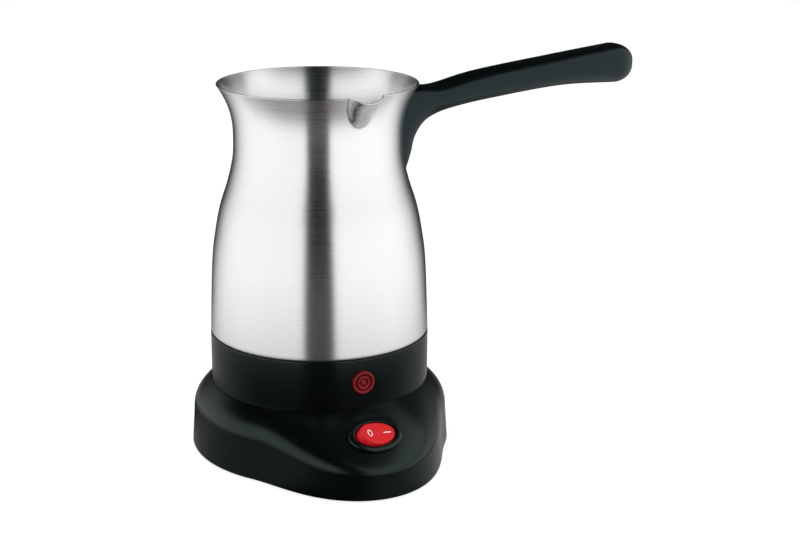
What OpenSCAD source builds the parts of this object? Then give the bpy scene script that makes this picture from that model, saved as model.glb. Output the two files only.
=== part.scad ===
// Electric pot for Turkish coffee: a flared steel pot with a black collar and handle,
// which lifts off a round base with an oval rocker switch.
// The origin is on the pot's axis, in the plane that the rubber feet stand on.
// +Z is up, the front with the switch, lamp and spout is -Y, and the handle points to +X.

/* [Pot] */
// Radius of the steel belly just above the collar
belly_r = 49.9; // [47:0.1:53]
// Radius of the narrowest part of the neck
neck_r = 37.8; // [35:0.1:40]
// Radius of the flared rim
rim_r = 44.8; // [42:0.1:48]
// Height from the top of the collar to the narrowest part of the neck
neck_rise = 90.6; // [80:0.1:105]
// Height from the narrowest part of the neck to the rim
flare_rise = 22.3; // [18:0.1:28]
// Thickness of the steel sheet
sheet_t = 0.8; // [0.6:0.1:1.2]

/* [Spout] */
// Radius of the pouring lip
spout_r = 7; // [5:0.1:9]
// Height of the lip's pressed groove
spout_h = 15.3; // [12:0.1:18]
// How far the lip leans out of the neck
spout_lean = 17.8; // [12:0.1:22]

/* [Collar] */
// Height of the black collar
collar_h = 26.4; // [25.5:0.1:32]
// Wall of the collar
collar_wall = 2.1; // [1.6:0.1:2.6]
// How far the collar stands proud of the steel
collar_proud = 0.1; // [0:0.05:0.6]
// Radius of the rounded lower edge of the collar
collar_round = 4; // [2:0.1:4.4]
// Thickness of the gasket between the collar and the steel
seal_t = 0.5; // [0.4:0.1:1]
// Thickness of the cover under the collar
cover_t = 2.2; // [1.8:0.1:2.6]

/* [Lamp] */
// Radius of the red lens
lens_r = 5.5; // [5:0.1:6]
// Distance of the lens centre below the top of the collar
lens_drop = 10.4; // [10.2:0.1:11]

/* [Heater] */
// Thickness of the heat spreading plate
plate_t = 3; // [2:0.1:3.4]
// Distance from the collar's bore to the edge of the heat spreading plate
plate_margin = 3.9; // [3.6:0.1:4.6]
// Distance from the plate's edge to the middle of the heating element's tube
element_inset = 12; // [11.5:0.1:12.6]
// Radius of the heating element's tube
element_r = 3.3; // [3:0.1:3.4]

/* [Handle] */
// Distance of the handle's tip from the pot's axis
handle_reach = 162.4; // [140:0.5:185]
// Half of the handle's width at the grip
grip_half_w = 9.6; // [8:0.1:12]
// How far the grip's tip rises above the rim
grip_rise = 9.1; // [4:0.1:16]

/* [Base] */
// Distance from the wall of the well to the foot of the base's round part
base_margin = 9.2; // [8:0.1:13]
// Wall of the base housing
base_wall = 2.4; // [2:0.1:3]
// Inward lean of the base wall, per unit of height
base_draft = 0.07; // [0.03:0.01:0.09]
// Height at which the wall turns into the shoulder
shoulder_h = 16; // [13:0.5:18]
// Gap between the collar and the wall of the well
well_gap = 0.6; // [0.5:0.1:1.2]
// Height of the well's floor
well_floor_h = 28; // [27.6:0.1:29]
// Depth of the well at its rim
well_depth = 4; // [3.6:0.1:5]
// Thickness of the well's floor
well_floor_t = 2.4; // [2:0.1:2.8]
// How far the switch lobe reaches past the round part
lobe_reach = 18.9; // [17:0.1:22]
// Half of the angle that the lobe spans
lobe_half = 54; // [50:1:60]
// Thickness of the bottom plate
bottom_t = 2; // [1.8:0.1:2.6]
// Height of the housing's lower edge above the resting plane
foot_proud = 0.6; // [0.4:0.1:1.2]

/* [Switch] */
// Half of the bezel's length
bezel_a = 12.5; // [12:0.1:13.2]
// Half of the bezel's width
bezel_b = 8.7; // [8.4:0.1:9.2]
// Height of the bezel above its seat
bezel_h = 2; // [1.6:0.1:2.6]
// Half of the rocker's length
rocker_a = 9.4; // [8.8:0.1:9.8]
// Half of the rocker's width
rocker_b = 6.3; // [5.9:0.1:6.5]
// Tilt of the rocker's two faces
rocker_tilt = 8; // [6:0.5:9]
// Distance of the switch from the wall of the well
switch_gap = 12.4; // [11.4:0.1:13.4]
// Height of the switch's seat
switch_z = 23.3; // [23:0.1:24]
// Slope of the switch's seat
switch_slope = 32; // [29:0.5:34]
// Depth of the switch's body behind its seat
switch_depth = 13; // [11.5:0.1:13.8]

/* [Connector] */
// Radius of the round connector tower in the well
tower_r = 16; // [15.5:0.1:16.4]
// Height of the tower above the well's floor
tower_h = 8; // [7:0.1:8.4]
// Radius of the connector's centre pin
pin_r = 2.3; // [2:0.1:2.5]

/* [Cord inlet] */
// Radius of the bore that the mains cord passes through
gland_bore_r = 3.6; // [3:0.1:4]
// Height of the bore's axis
gland_h = 11; // [10.5:0.1:12]

/* [Hardware] */
// Radius of the screw shanks
screw_r = 1.45; // [1.3:0.05:1.6]
// Radius of the screw heads
screw_head_r = 2.8; // [2.6:0.1:3]
// Radius of the rubber feet
foot_r = 7; // [6:0.1:7.5]

/* [Hidden] */
$fn = 96;

// clearances
fit = 0.05;        // shafts, pins and screws in their holes
loose = 0.3;       // covers in their seats

// heights of the pot
pot_foot_z = well_floor_h;
collar_top_z = pot_foot_z + collar_h;
step_z = collar_top_z + seal_t;
belly_z = step_z + sheet_t;
neck_z = collar_top_z + neck_rise;
rim_z = neck_z + flare_rise;

// radii round the collar
collar_r = belly_r + collar_proud;
collar_in_r = collar_r - collar_wall;
skirt_r = collar_in_r - loose;
seal_inset = 0.5;
well_r = collar_r + well_gap;
base_r = well_r + base_margin;
switch_y = well_r + switch_gap;
rim_h = well_floor_h + well_depth;

// the pot's underside
collar_land = 1.1;   // flat foot of the collar outside its cover
cover_recess = 0.3;
cover_r = collar_r - collar_round - collar_land;
cover_z = pot_foot_z + cover_recess;
cover_top_z = cover_z + cover_t;
ledge_t = 1.5;       // ledge in the collar that the cover is held against
ledge_w = 2;

// heater
plate_r = collar_in_r - plate_margin;
element_ring_r = plate_r - element_inset;
skirt_depth = 4;
shell_floor_z = step_z - skirt_depth;
heat_z = shell_floor_z - plate_t;
element_sink = 0.2;
element_z = heat_z - element_r + element_sink;
element_gap = 60;
element_tail_len = 8.7;
element_tail_r = element_r + 0.3;
element_tail_z = heat_z - element_tail_len;
pin_drop = 2;
element_pin_r = 1.2;
disc_r = 8;          // snap disc thermostat
disc_t = 1.6;
disc_body_r = 6.8;
disc_body_t = 2.8;
fuse_r = 2;
fuse_len = 12;
clip_t = 0.6;        // strap round the fuse
clip_w = 5;

// posts and screws under the pot
post_r = 3;
post_margin = 1.8;
post_ring_r = plate_r - post_margin - post_r;
post_angles = [90, 210, 330];
head_h = 1.6;

// connector
tower_top_z = well_floor_h + tower_h;
tower_foot_z = 12;
tail_r = 1;          // round tails of the contacts
tail_foot_z = 8;
tower_flange_r = tower_r + 5;
tower_flange_t = 2.5;
tower_flange_z = well_floor_h - well_floor_t - tower_flange_t;
tower_body_r = tower_r - 1;
slot_in_r = 9.5;
slot_out_r = 11.5;
slot_depth = 9;
ring_tail_y = 0.3 - slot_out_r;
socket_depth = 12;
cup_r = tower_r + 1.2;
cup_wall = 1.8;
cup_out_r = cup_r + cup_wall;
cup_ceiling_z = tower_top_z + 1;
cup_top_t = 2.2;
cup_flange_r = cup_out_r + 6;
cup_flange_t = 4;
cup_screw_ring_r = cup_out_r + 3.4;
cup_screw_r = 1.1;
cup_screw_head_r = 2;
cup_screw_angles = [30, 150, 270];
blade_in_r = 10.1;
blade_out_r = 10.9;
pin_reach = tower_h - 0.7;
blade_reach = tower_h - 2;
tab_x = 9;           // two tabs that the leads are crimped to
tab_y = cup_out_r + 2.6;
tab_t = 0.8;
tab_w = 4;
tab_len = 4.5;
pot_lead_r = 1.2;

// base
plate_z = foot_proud + 0.6;
plate_top_z = plate_z + bottom_t;
foot_sink = 1;
tub_wall = 2.2;
tub_floor_z = well_floor_h - well_floor_t;
boss_r = 4;
boss_foot_z = plate_top_z + 2;
boss_ring_r = well_r - 3.5;
boss_places = [for (a = [62, 118, -38, -142]) boss_ring_r * [cos(a), sin(a)]];
foot_x = 17;                            // the front feet stand closer together
foot_y = base_r + lobe_reach - foot_r - 10.7;
foot_ring_r = base_r - foot_r - 4.7;
foot_places = [[foot_x, -foot_y], [-foot_x, -foot_y],
    for (a = [45, 135]) foot_ring_r * [cos(a), sin(a)]];
screw_len = 10;
rib_r = tower_body_r + 2;
rib_t = 2.4;
lead_gate_w = 16;    // opening in the rib that the lead passes through
lead_gate_h = 8;

// shape of the base: a round body, blended into a lobe whose top is a sloping plane
blend_start = 16;  // degrees from the front to where the sloping top begins to blend
blend_end = 62;    // degrees from the front to where the base is round again
land_depth = 0.6;
meet_round = 2;    // rounding where the sloping top meets the rim's height
land_a = bezel_a + 4.5;
land_b = bezel_b + 3.2;
form_steps = 72;
shoulder_steps = 7;

// switch
frame_gap = 0.25;
frame_wall = 0.85;
opening_a = rocker_a + frame_gap;
opening_b = rocker_b + frame_gap;
frame_a = opening_a + frame_wall;
frame_b = opening_b + frame_wall;
pivot_w = 0.2;
pivot_r = 1;
apex_w = bezel_h + 0.6;
// the bezel's edge is stepped in: [height, thickness, inset]
bezel_steps = [[0, bezel_h - 0.7, 0], [bezel_h - 0.7, 0.4, 0.25], [bezel_h - 0.3, 0.3, 0.7]];
rocker_side_z = -3;  // the rocker's lower edge at its ends and below its middle
rocker_keel_z = -5.5;
rocker_keel_w = 3;
terminal_xs = [-6, 0, 6];
terminal_len = 4.5;
terminal_w = 4;
terminal_t = 0.8;

// cord gland, gripping the housing's wall between an outer flange and an inner lip
gland_r = gland_bore_r + 1.4;
gland_flange_r = gland_bore_r + 3.2;
gland_flange_t = 2;
gland_lip_r = gland_bore_r + 2.6;
gland_lip_t = 1.4;
gland_out_y = base_r - base_draft * (gland_h - gland_flange_r) + 0.1;
gland_lip_y = base_r - base_wall - base_draft * (gland_h + gland_lip_r) - 0.6;
gland_in_y = gland_lip_y - gland_lip_t;
gland_len = gland_out_y + gland_flange_t - gland_in_y;

// lamp
lens_z = collar_top_z - lens_drop;
lens_stem_r = lens_r - 1;
lens_bore_r = lens_stem_r - 1.5;
lens_t = 1.5;
lens_in_y = collar_in_r - 2.7;
bulb_r = 2;
bulb_len = 8;

// handle: each row is [top r, top z, bottom r, bottom z, half width], from the tip of
// the root up the pot's wall and then along the grip; radii count from the pot's wall,
// or from the neck where that is lower than the row, and heights count from the rim
grip_shape = [
    [-7, -44.3, 0.8, -44.6, 3.4],
    [-7, -40, 3.3, -40.4, 4.7],
    [-7, -33.5, 6.6, -33.9, 6],
    [-7, -25.5, 8.9, -26.4, 7.4],
    [-7, -15, 13, -20.8, 8.2],
    [2, -4.4, 18.3, -17.8, 8.6],
    [18.6, -4.3, 26.7, -15.3, 8.7],
    [41.8, 0.5, 44.9, -12.6, 8.9],
    [82.4, 5.5, 83, -8.9, 9.3],
    [113.7, 9.1, 113.7, -9.4, 9.6]
];
grip_start = [18.6, 26.7];   // radii beyond which the top and bottom lines stretch
grip_end = 10.9;
tongue_x = neck_r + 15.7;   // axis of the handle's screw
tongue_end = 3.8;
tongue_z = rim_z - 13.3;
tongue_h = 4;
tongue_half_w = 4;
pad_t = 1.2;
pad_low_z = tongue_z - 8;
pad_high_z = tongue_z + tongue_h + 2;
pad_half_angle = 8;
handle_screw_r = 1.5;
handle_head_r = 3;
handle_head_h = 2;
handle_head_z = tongue_z - 4.4;
handle_screw_len = 7.4;
pocket_gap = 0.25;          // round the bracket in the handle

// ---- curves

function lerp(a, b, t) = a + (b - a) * t;
function smooth(t) = t <= 0 ? 0 : t >= 1 ? 1 : t * t * (3 - 2 * t);

// Smooth curve through the rows of p, with n steps between two rows
function spline_at(a, b, c, d, t) =
    (2 * b + (c - a) * t + (2 * a - 5 * b + 4 * c - d) * t * t
        + (3 * b - a - 3 * c + d) * t * t * t) / 2;
function spline(p, n) = let (last = len(p) - 1) concat(
    [for (i = [0:last - 1], k = [0:n - 1]) spline_at(
        p[max(i - 1, 0)], p[i], p[i + 1], p[min(i + 2, last)], k / n)],
    [p[last]]);

// Points of an ellipse in the plane
function oval(a, b) = [for (i = [0:71]) [a * cos(5 * i), b * sin(5 * i)]];

// Skin over a list of rings with equal numbers of points, with a flat face on each end
module skin(rings) {
    n = len(rings[0]);
    last = len(rings) - 1;
    sides = [for (i = [0:last - 1], k = [0:n - 1]) let (
        a = i * n + k,
        b = i * n + (k + 1) % n,
        c = (i + 1) * n + (k + 1) % n,
        d = (i + 1) * n + k) each [[a, c, b], [a, d, c]]];
    low = [for (k = [0:n - 1]) k];
    high = [for (k = [n - 1:-1:0]) last * n + k];
    polyhedron(points = [for (ring = rings) each ring], faces = concat(sides, [low, high]));
}

// Insulated lead along a smooth curve through points that is nowhere upright
module lead(points, r) {
    path = spline(points, 4);
    last = len(path) - 1;
    skin([for (i = [0:last]) let (
        along = path[min(i + 1, last)] - path[max(i - 1, 0)],
        side = cross(along, [0, 0, 1]) / norm(cross(along, [0, 0, 1])),
        up = cross(side, along) / norm(along))
        [for (a = [0:45:315]) path[i] + r * (cos(a) * side - sin(a) * up)]]);
}

module tube(out_r, in_r, h) {
    difference() {
        cylinder(r = out_r, h = h);
        translate([0, 0, -1]) cylinder(r = in_r, h = h + 2);
    }
}

// Screw that is driven upwards, with its head's seat at the origin
module screw(r, head_r, head_t, h) {
    difference() {
        translate([0, 0, -head_t]) cylinder(r = head_r, h = head_t, $fn = 32);
        for (a = [0, 90]) rotate(a)
            translate([-head_r * 0.6, -0.3, -head_t - 1]) cube([head_r * 1.2, 0.6, 1.7]);
    }
    cylinder(r = r, h = h, $fn = 32);
}

// ---- shape of the pot

// How the wall runs from the belly, 0, to the neck, 1: [share of the height, of the way]
belly_shape = [[0, 0], [0.34, 0.107], [0.5, 0.251], [0.636, 0.455], [0.768, 0.768],
    [0.89, 0.968], [1, 1]];
flare_power = 2.2;
flare_steps = 8;

pot_line = concat(
    [for (q = spline(belly_shape, 4))
        [lerp(belly_r, neck_r, q[1]), lerp(belly_z, neck_z, q[0])]],
    [for (i = [1:flare_steps]) let (t = i / flare_steps)
        [neck_r + (rim_r - neck_r) * pow(t, flare_power), neck_z + flare_rise * t]]);

// Radius of the pot's wall at height z, or of the neck above it
pot_radii = [for (q = pot_line) [q[1], q[0]]];
function wall_at(z) = lookup(min(z, neck_z), pot_radii);

function moved(line, d) = [for (q = line) [q[0] + d, q[1]]];
function backwards(line) = [for (i = [len(line) - 1:-1:0]) line[i]];

// Solid of revolution inside the pot's outside wall, grown by d
module pot_form(d) {
    rotate_extrude() polygon(concat([[0, belly_z]], moved(pot_line, d),
        [[rim_r + d, rim_z + 3], [0, rim_z + 3]]));
}

spout_foot_r = 0.3;
spout_over = 3;      // how far the cone runs on above the rim
lip_dip = 12;        // dip of the lip's edge towards the front
lip_dip_start = 2.5;

module spout_cone(grow) {
    translate([0, -neck_r + 0.2, rim_z - spout_h]) rotate([spout_lean, 0, 0])
        cylinder(r1 = spout_foot_r + grow, r2 = spout_r + 1 + grow, h = spout_h + spout_over,
            $fn = 64);
}

// Half space under the lip's edge, which dips towards the front
module under_lip() {
    translate([0, -rim_r + lip_dip_start, rim_z]) rotate([lip_dip, 0, 0])
        translate([-rim_r, -rim_r, -2 * rim_r]) cube(2 * rim_r);
}

module pot_shell() color([0.78, 0.79, 0.8]) difference() {
    union() {
        rotate_extrude() polygon(concat(
            [[0, shell_floor_z], [skirt_r, shell_floor_z], [skirt_r, step_z],
                [belly_r - 0.3, step_z]],
            pot_line,
            [[0, rim_z]]));
        intersection() {
            spout_cone(sheet_t);
            under_lip();
            cylinder(r = 2 * rim_r, h = rim_z);
        }
    }
    rotate_extrude() polygon(concat(
        [[0, shell_floor_z + sheet_t], [skirt_r - sheet_t, shell_floor_z + sheet_t],
            [skirt_r - sheet_t, step_z + sheet_t], [belly_r - 1.2 * sheet_t, belly_z + sheet_t]],
        [for (q = pot_line) if (q[1] > belly_z + sheet_t) q - [sheet_t, 0]],
        [[rim_r - sheet_t, rim_z + 1], [0, rim_z + 1]]));
    spout_cone(0);
}

module pot_seal() color([0.12, 0.12, 0.12]) translate([0, 0, collar_top_z])
    tube(collar_r - seal_inset, skirt_r + 0.1, seal_t);

module pot_collar() color([0.09, 0.1, 0.1]) difference() {
    rotate_extrude() polygon(concat(
        [[collar_in_r, collar_top_z], [collar_in_r, cover_top_z + ledge_t],
            [cover_r - ledge_w, cover_top_z + ledge_t], [cover_r - ledge_w, cover_top_z],
            [cover_r + loose, cover_top_z], [cover_r + loose, pot_foot_z]],
        [for (a = [-90:10:0]) [collar_r - collar_round + collar_round * cos(a),
            pot_foot_z + collar_round + collar_round * sin(a)]],
        [[collar_r, collar_top_z - 0.3], [collar_r - 0.3, collar_top_z]]));
    translate([0, 0, lens_z]) rotate([90, 0, 0])
        cylinder(r = lens_stem_r + fit, h = collar_r + 5);
}

module collar_cover() color([0.1, 0.1, 0.1]) difference() {
    translate([0, 0, cover_z]) tube(cover_r, cup_out_r + loose, cover_t);
    for (a = post_angles) rotate(a) translate([post_ring_r, 0, cover_z]) {
        translate([0, 0, -1]) cylinder(r = screw_r + loose / 2, h = cover_t + 2, $fn = 32);
        translate([0, 0, -1]) cylinder(r = screw_head_r + loose, h = 1 + head_h, $fn = 32);
    }
    for (a = cup_screw_angles) rotate(a) translate([cup_screw_ring_r, 0, cover_z]) {
        translate([0, 0, -1]) cylinder(r = cup_screw_r + loose / 2, h = cover_t + 2, $fn = 32);
        translate([0, 0, -1]) cylinder(r = cup_screw_head_r + loose, h = 1 + head_h, $fn = 32);
    }
}

module cover_posts() color([0.7, 0.7, 0.7]) for (a = post_angles) rotate(a)
    translate([post_ring_r, 0, cover_top_z]) difference() {
        cylinder(r = post_r, h = heat_z - cover_top_z, $fn = 48);
        translate([0, 0, -1]) cylinder(r = screw_r + fit, h = screw_len, $fn = 32);
    }

module cover_screws() color([0.6, 0.6, 0.6]) for (a = post_angles) rotate(a)
    translate([post_ring_r, 0, cover_z + head_h])
        screw(screw_r, screw_head_r, head_h - 0.2, screw_len - 2);

module pot_connector() color([0.15, 0.15, 0.15]) difference() {
    union() {
        translate([0, 0, cover_z]) cylinder(r = cup_out_r, h = cup_ceiling_z + cup_top_t - cover_z);
        translate([0, 0, cover_top_z]) cylinder(r = cup_flange_r, h = cup_flange_t);
    }
    translate([0, 0, cover_z - 1]) cylinder(r = cup_r, h = cup_ceiling_z - cover_z + 1);
    cylinder(r = tail_r + fit, h = cup_ceiling_z + cup_top_t + 1, $fn = 32);
    for (a = cup_screw_angles) rotate(a) translate([cup_screw_ring_r, 0, cover_top_z - 1])
        cylinder(r = cup_screw_r + fit, h = cup_flange_t, $fn = 32);
}

module connector_screws() color([0.6, 0.6, 0.6]) for (a = cup_screw_angles) rotate(a)
    translate([cup_screw_ring_r, 0, cover_z + head_h])
        screw(cup_screw_r, cup_screw_head_r, head_h - 0.2, cover_t - head_h + cup_flange_t - 1.2);

module connector_pins() color([0.8, 0.65, 0.3]) {
    translate([0, 0, tower_top_z - pin_reach]) {
        cylinder(r = pin_r, h = cup_ceiling_z - tower_top_z + pin_reach, $fn = 48);
        cylinder(r = tail_r, h = cup_ceiling_z + cup_top_t + 0.3 - tower_top_z + pin_reach, $fn = 32);
    }
    translate([0, 0, tower_top_z - blade_reach])
        tube(blade_out_r, blade_in_r, cup_ceiling_z - tower_top_z + blade_reach);
    for (s = [-1, 1])
        translate([s * tab_x - tab_t / 2, tab_y - tab_w / 2, cover_top_z + cup_flange_t])
            cube([tab_t, tab_w, tab_len]);
}

module heat_plate() color([0.75, 0.75, 0.76]) translate([0, 0, heat_z])
    cylinder(r = plate_r, h = plate_t);

// Where the element's two ends are
element_ends = [for (s = [-1, 1]) [s * element_ring_r * sin(element_gap / 2),
    element_ring_r * cos(element_gap / 2)]];

module heating_element() color([0.45, 0.45, 0.43]) intersection() {
    union() {
        translate([0, 0, element_z]) rotate(90 + element_gap / 2)
            rotate_extrude(angle = 360 - element_gap)
                translate([element_ring_r, 0]) circle(r = element_r, $fn = 48);
        for (q = element_ends) translate([q[0], q[1], element_tail_z])
            cylinder(r = element_tail_r, h = element_tail_len + 1, $fn = 48);
    }
    cylinder(r = collar_r, h = heat_z);
}

module element_pins() color([0.7, 0.7, 0.7]) for (q = element_ends)
    translate([q[0], q[1], element_tail_z - pin_drop])
        cylinder(r = element_pin_r, h = pin_drop, $fn = 32);

module thermostat() color([0.82, 0.82, 0.84]) translate([0, 0, heat_z - disc_t]) {
    cylinder(r = disc_r, h = disc_t);
    translate([0, 0, -disc_body_t]) cylinder(r = disc_body_r, h = disc_body_t);
}

fuse_y = element_ring_r + 1;
fuse_z = heat_z - fuse_r;

module thermal_fuse() color([0.75, 0.7, 0.6]) translate([-fuse_len / 2, fuse_y, fuse_z])
    rotate([0, 90, 0]) cylinder(r = fuse_r, h = fuse_len, $fn = 48);

// Strap that holds the fuse against the heat plate
module fuse_clip() color([0.7, 0.7, 0.7]) translate([-clip_w / 2, fuse_y, fuse_z]) {
    tab = 4;
    rotate([0, 90, 0]) rotate(-90) rotate_extrude(angle = 180) translate([fuse_r + fit, 0])
        square([clip_t, clip_w]);
    for (s = [-1, 1]) translate([0, s * (fuse_r + fit + clip_t / 2) - clip_t / 2, 0])
        cube([clip_w, clip_t, fuse_r]);
    translate([0, -fuse_r - fit - tab, fuse_r - clip_t]) cube([clip_w, tab, clip_t]);
}

module pot_leads() color([0.85, 0.85, 0.8]) {
    pin_foot_z = element_tail_z - pin_drop - pot_lead_r - fit;
    flange_z = cover_top_z + cup_flange_t + pot_lead_r;
    for (i = [0, 1]) let (s = 2 * i - 1, end = element_ends[i]) lead([
        [s * (tab_x + tab_t / 2 + fit + pot_lead_r), tab_y - 1, flange_z + 0.1],
        [s * (tab_x + 3 * pot_lead_r), tab_y + 1.4, flange_z + 0.1],
        [end[0] - s * pot_lead_r, end[1] - 2 * pot_lead_r, pin_foot_z - 0.1],
        [end[0] + s * 0.3, end[1] + 1, pin_foot_z - 0.1]], pot_lead_r);
}

module indicator_lens() color([0.75, 0.05, 0.08]) difference() {
    translate([0, -lens_in_y, lens_z]) rotate([90, 0, 0]) {
        cylinder(r = lens_stem_r, h = collar_r - lens_in_y);
        translate([0, 0, collar_r - lens_in_y - 0.6]) difference() {
            cylinder(r = lens_r, h = lens_t + 0.6, $fn = 64);
            difference() {
                translate([0, 0, lens_t]) cylinder(r = lens_r + 1, h = 1);
                cylinder(r1 = lens_r + lens_t, r2 = lens_r - 0.6, h = lens_t + 0.6, $fn = 64);
            }
        }
    }
    // the flange is hollowed to sit on the round collar
    translate([0, 0, lens_z - 10]) difference() {
        cylinder(r = collar_r + fit, h = 20, $fn = 128);
        translate([0, -collar_r + 20, 10]) rotate([90, 0, 0]) cylinder(r = lens_stem_r, h = 30);
    }
    translate([0, -lens_in_y - 4, lens_z]) rotate([-90, 0, 0])
        cylinder(r = lens_bore_r, h = 5, $fn = 48);
}

module lamp_clip() color([0.7, 0.7, 0.7]) translate([0, -collar_in_r + 0.4, lens_z])
    rotate([-90, 0, 0]) tube(lens_r, lens_stem_r + fit, 0.8);

module neon_lamp() color([0.9, 0.6, 0.4]) translate([0, -lens_in_y - 1, lens_z])
    rotate([-90, 0, 0]) {
        sphere(r = bulb_r, $fn = 32);
        cylinder(r = bulb_r, h = bulb_len, $fn = 32);
    }

// ---- handle

// A row of the handle in the part's own place, in the form of grip_shape
grip_foot = grip_shape[len(grip_shape) - 1];
grip_shift = handle_reach - grip_end - neck_r - grip_foot[0];
function grip_place(q) = let (
    way = max(0, (q[0] - grip_start[0]) / (grip_foot[0] - grip_start[0])),
    low_way = max(0, (q[2] - grip_start[1]) / (grip_foot[0] - grip_start[1])),
    lift = grip_rise - grip_foot[1]) [
    wall_at(rim_z + q[1]) + q[0] + grip_shift * way,
    rim_z + q[1] + lift * way,
    wall_at(rim_z + q[3]) + q[2] + grip_shift * low_way,
    rim_z + q[3] + lift * low_way,
    q[4] * grip_half_w / grip_foot[4]];

grip_rows = [for (q = spline(grip_shape, 3)) grip_place(q)];
grip_last = grip_rows[len(grip_rows) - 1];
grip_mid = [(grip_last[0] + grip_last[2]) / 2, (grip_last[1] + grip_last[3]) / 2];
grip_half_h = (grip_last[1] - grip_last[3]) / 2;
tip_rows = [for (a = [18, 36, 52, 66, 78, 87]) [
    grip_mid[0] + grip_end * sin(a), grip_mid[1] + grip_half_h * cos(a),
    grip_mid[0] + grip_end * sin(a), grip_mid[1] - grip_half_h * cos(a),
    grip_last[4] * cos(a)]];

// Rounded section of the handle between a row's two lines
section_power = 2 / 2.7;
function bent(v) = sign(v) * pow(abs(v), section_power);
function grip_ring(q) = let (
    mid = [(q[0] + q[2]) / 2, 0, (q[1] + q[3]) / 2],
    half = [(q[0] - q[2]) / 2, 0, (q[1] - q[3]) / 2])
    [for (a = [0:15:345]) mid + half * bent(sin(a)) + [0, q[4] * bent(cos(a)), 0]];

module handle() color([0.07, 0.08, 0.08]) difference() {
    skin([for (q = concat(grip_rows, tip_rows)) grip_ring(q)]);
    pot_form(0.1);
    // pocket for the bracket's pad and tongue
    bracket_pad(pocket_gap, 0.6);
    translate([0, -tongue_half_w - pocket_gap, tongue_z - pocket_gap])
        cube([tongue_x + tongue_end + 2 * pocket_gap, 2 * (tongue_half_w + pocket_gap),
            tongue_h + 2 * pocket_gap]);
    translate([tongue_x, 0, handle_head_z + handle_head_h]) {
        cylinder(r = handle_screw_r + 2 * fit, h = handle_screw_len + 0.5, $fn = 32);
        translate([0, 0, -12]) cylinder(r = handle_head_r + loose, h = 12, $fn = 48);
    }
}

// Plate that follows the pot's wall, grown by d all round; it starts inside the wall
module bracket_pad(d, turn) {
    half = pad_half_angle + turn;
    low = pad_low_z - d;
    high = pad_high_z + d;
    zs = concat([low], [for (q = pot_line) if (q[1] > low && q[1] < high) q[1]], [high]);
    line = [for (z = zs) [lookup(z, pot_radii), z]];
    rotate(-half) rotate_extrude(angle = 2 * half)
        polygon(concat(moved(line, -sheet_t), backwards(moved(line, pad_t + d))));
}

module handle_bracket() color([0.7, 0.7, 0.72]) difference() {
    union() {
        bracket_pad(0, 0);
        translate([neck_r, -tongue_half_w, tongue_z])
            cube([tongue_x + tongue_end - neck_r, 2 * tongue_half_w, tongue_h]);
    }
    pot_form(0.02);
    translate([tongue_x, 0, tongue_z - 1])
        cylinder(r = handle_screw_r + fit, h = tongue_h + 2, $fn = 32);
}

module handle_screw() color([0.6, 0.6, 0.6])
    translate([tongue_x, 0, handle_head_z + handle_head_h])
        screw(handle_screw_r, handle_head_r, handle_head_h, handle_screw_len);

// ---- shape of the base

// 1 at the front of the lobe, 0 where the base is round; a is the angle from the front
function lobe(a) = abs(a) < lobe_half ? (1 + cos(180 * a / lobe_half)) / 2 : 0;
// 1 where the top is the sloping plane, 0 where the base is round
function sloped(a) = smooth((blend_end - abs(a)) / (blend_end - blend_start));
// Height of the sloping plane, y in front of the pot's axis
function slope_z(y) = switch_z + land_depth / cos(switch_slope)
    - (y - switch_y) * tan(switch_slope);

round_slope = 1.36;
front_wall_drop = 4;

// The lower of two heights, rounded over where they meet
function lower(a, b) = let (h = max(0, min(1, 0.5 + (b - a) / (2 * meet_round))))
    lerp(b, a, h) - meet_round * h * (1 - h);

// Distance of the wall from the axis at an angle and height
function wall_r(a, z) = base_r + lobe_reach * lobe(a) - base_draft * z;

// Outline of the base at one angle, from its lower edge up to the rim of the well;
// d is how far it lies inside the outer surface
function form_line(a, d, low_z) = let (
    s = sloped(a),
    slope = lerp(round_slope, tan(switch_slope) * cos(a), s),
    top_r = well_r - 0.5 - d,
    top_z = lerp(rim_h, lower(rim_h, slope_z(well_r * cos(a))), s) + 0.5 * slope,
    top = [top_r, top_z - 1.25 * d],
    turn_z = shoulder_h - front_wall_drop * s - 0.5 * d,
    turn = [wall_r(a, turn_z) - d, turn_z],
    corner = [turn[0], top[1] - (turn[0] - top_r) * slope],
    pull = lerp(0.78, 0.88, s),
    c1 = lerp(turn, corner, pull),
    c2 = lerp(top, corner, pull))
    concat([[wall_r(a, low_z) - d, low_z]], [for (i = [0:shoulder_steps])
        let (t = i / shoulder_steps, u = 1 - t)
            u * u * u * turn + 3 * u * u * t * c1 + 3 * u * t * t * c2 + t * t * t * top]);

// The base's closed form, d inside its outer surface, from low_z up
module base_form(d, low_z) {
    angles = [for (i = [0:form_steps - 1]) let (t = 360 * i / form_steps) t > 180 ? t - 360 : t];
    lines = [for (a = angles) form_line(a, d, low_z)];
    n = len(lines[0]);
    rings = [for (k = [0:n - 1]) [for (i = [0:form_steps - 1])
        [lines[i][k][0] * sin(angles[i]), -lines[i][k][0] * cos(angles[i]), lines[i][k][1]]]];
    inner = [for (i = [0:form_steps - 1]) [sin(angles[i]), -cos(angles[i]), rim_h - d]];
    skin(concat(rings, [inner]));
}

// The plan of the base at height z, d inside its wall
function plan(z, d) = [for (i = [0:form_steps - 1])
    let (t = 360 * i / form_steps, a = t > 180 ? t - 360 : t)
        [(wall_r(a, z) - d) * sin(a), -(wall_r(a, z) - d) * cos(a)]];

// Places its children on the switch's seat: x along the bezel, y down the slope, z out
module on_seat() {
    translate([0, -switch_y, switch_z]) rotate([switch_slope, 0, 0]) rotate(180) children();
}

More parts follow.
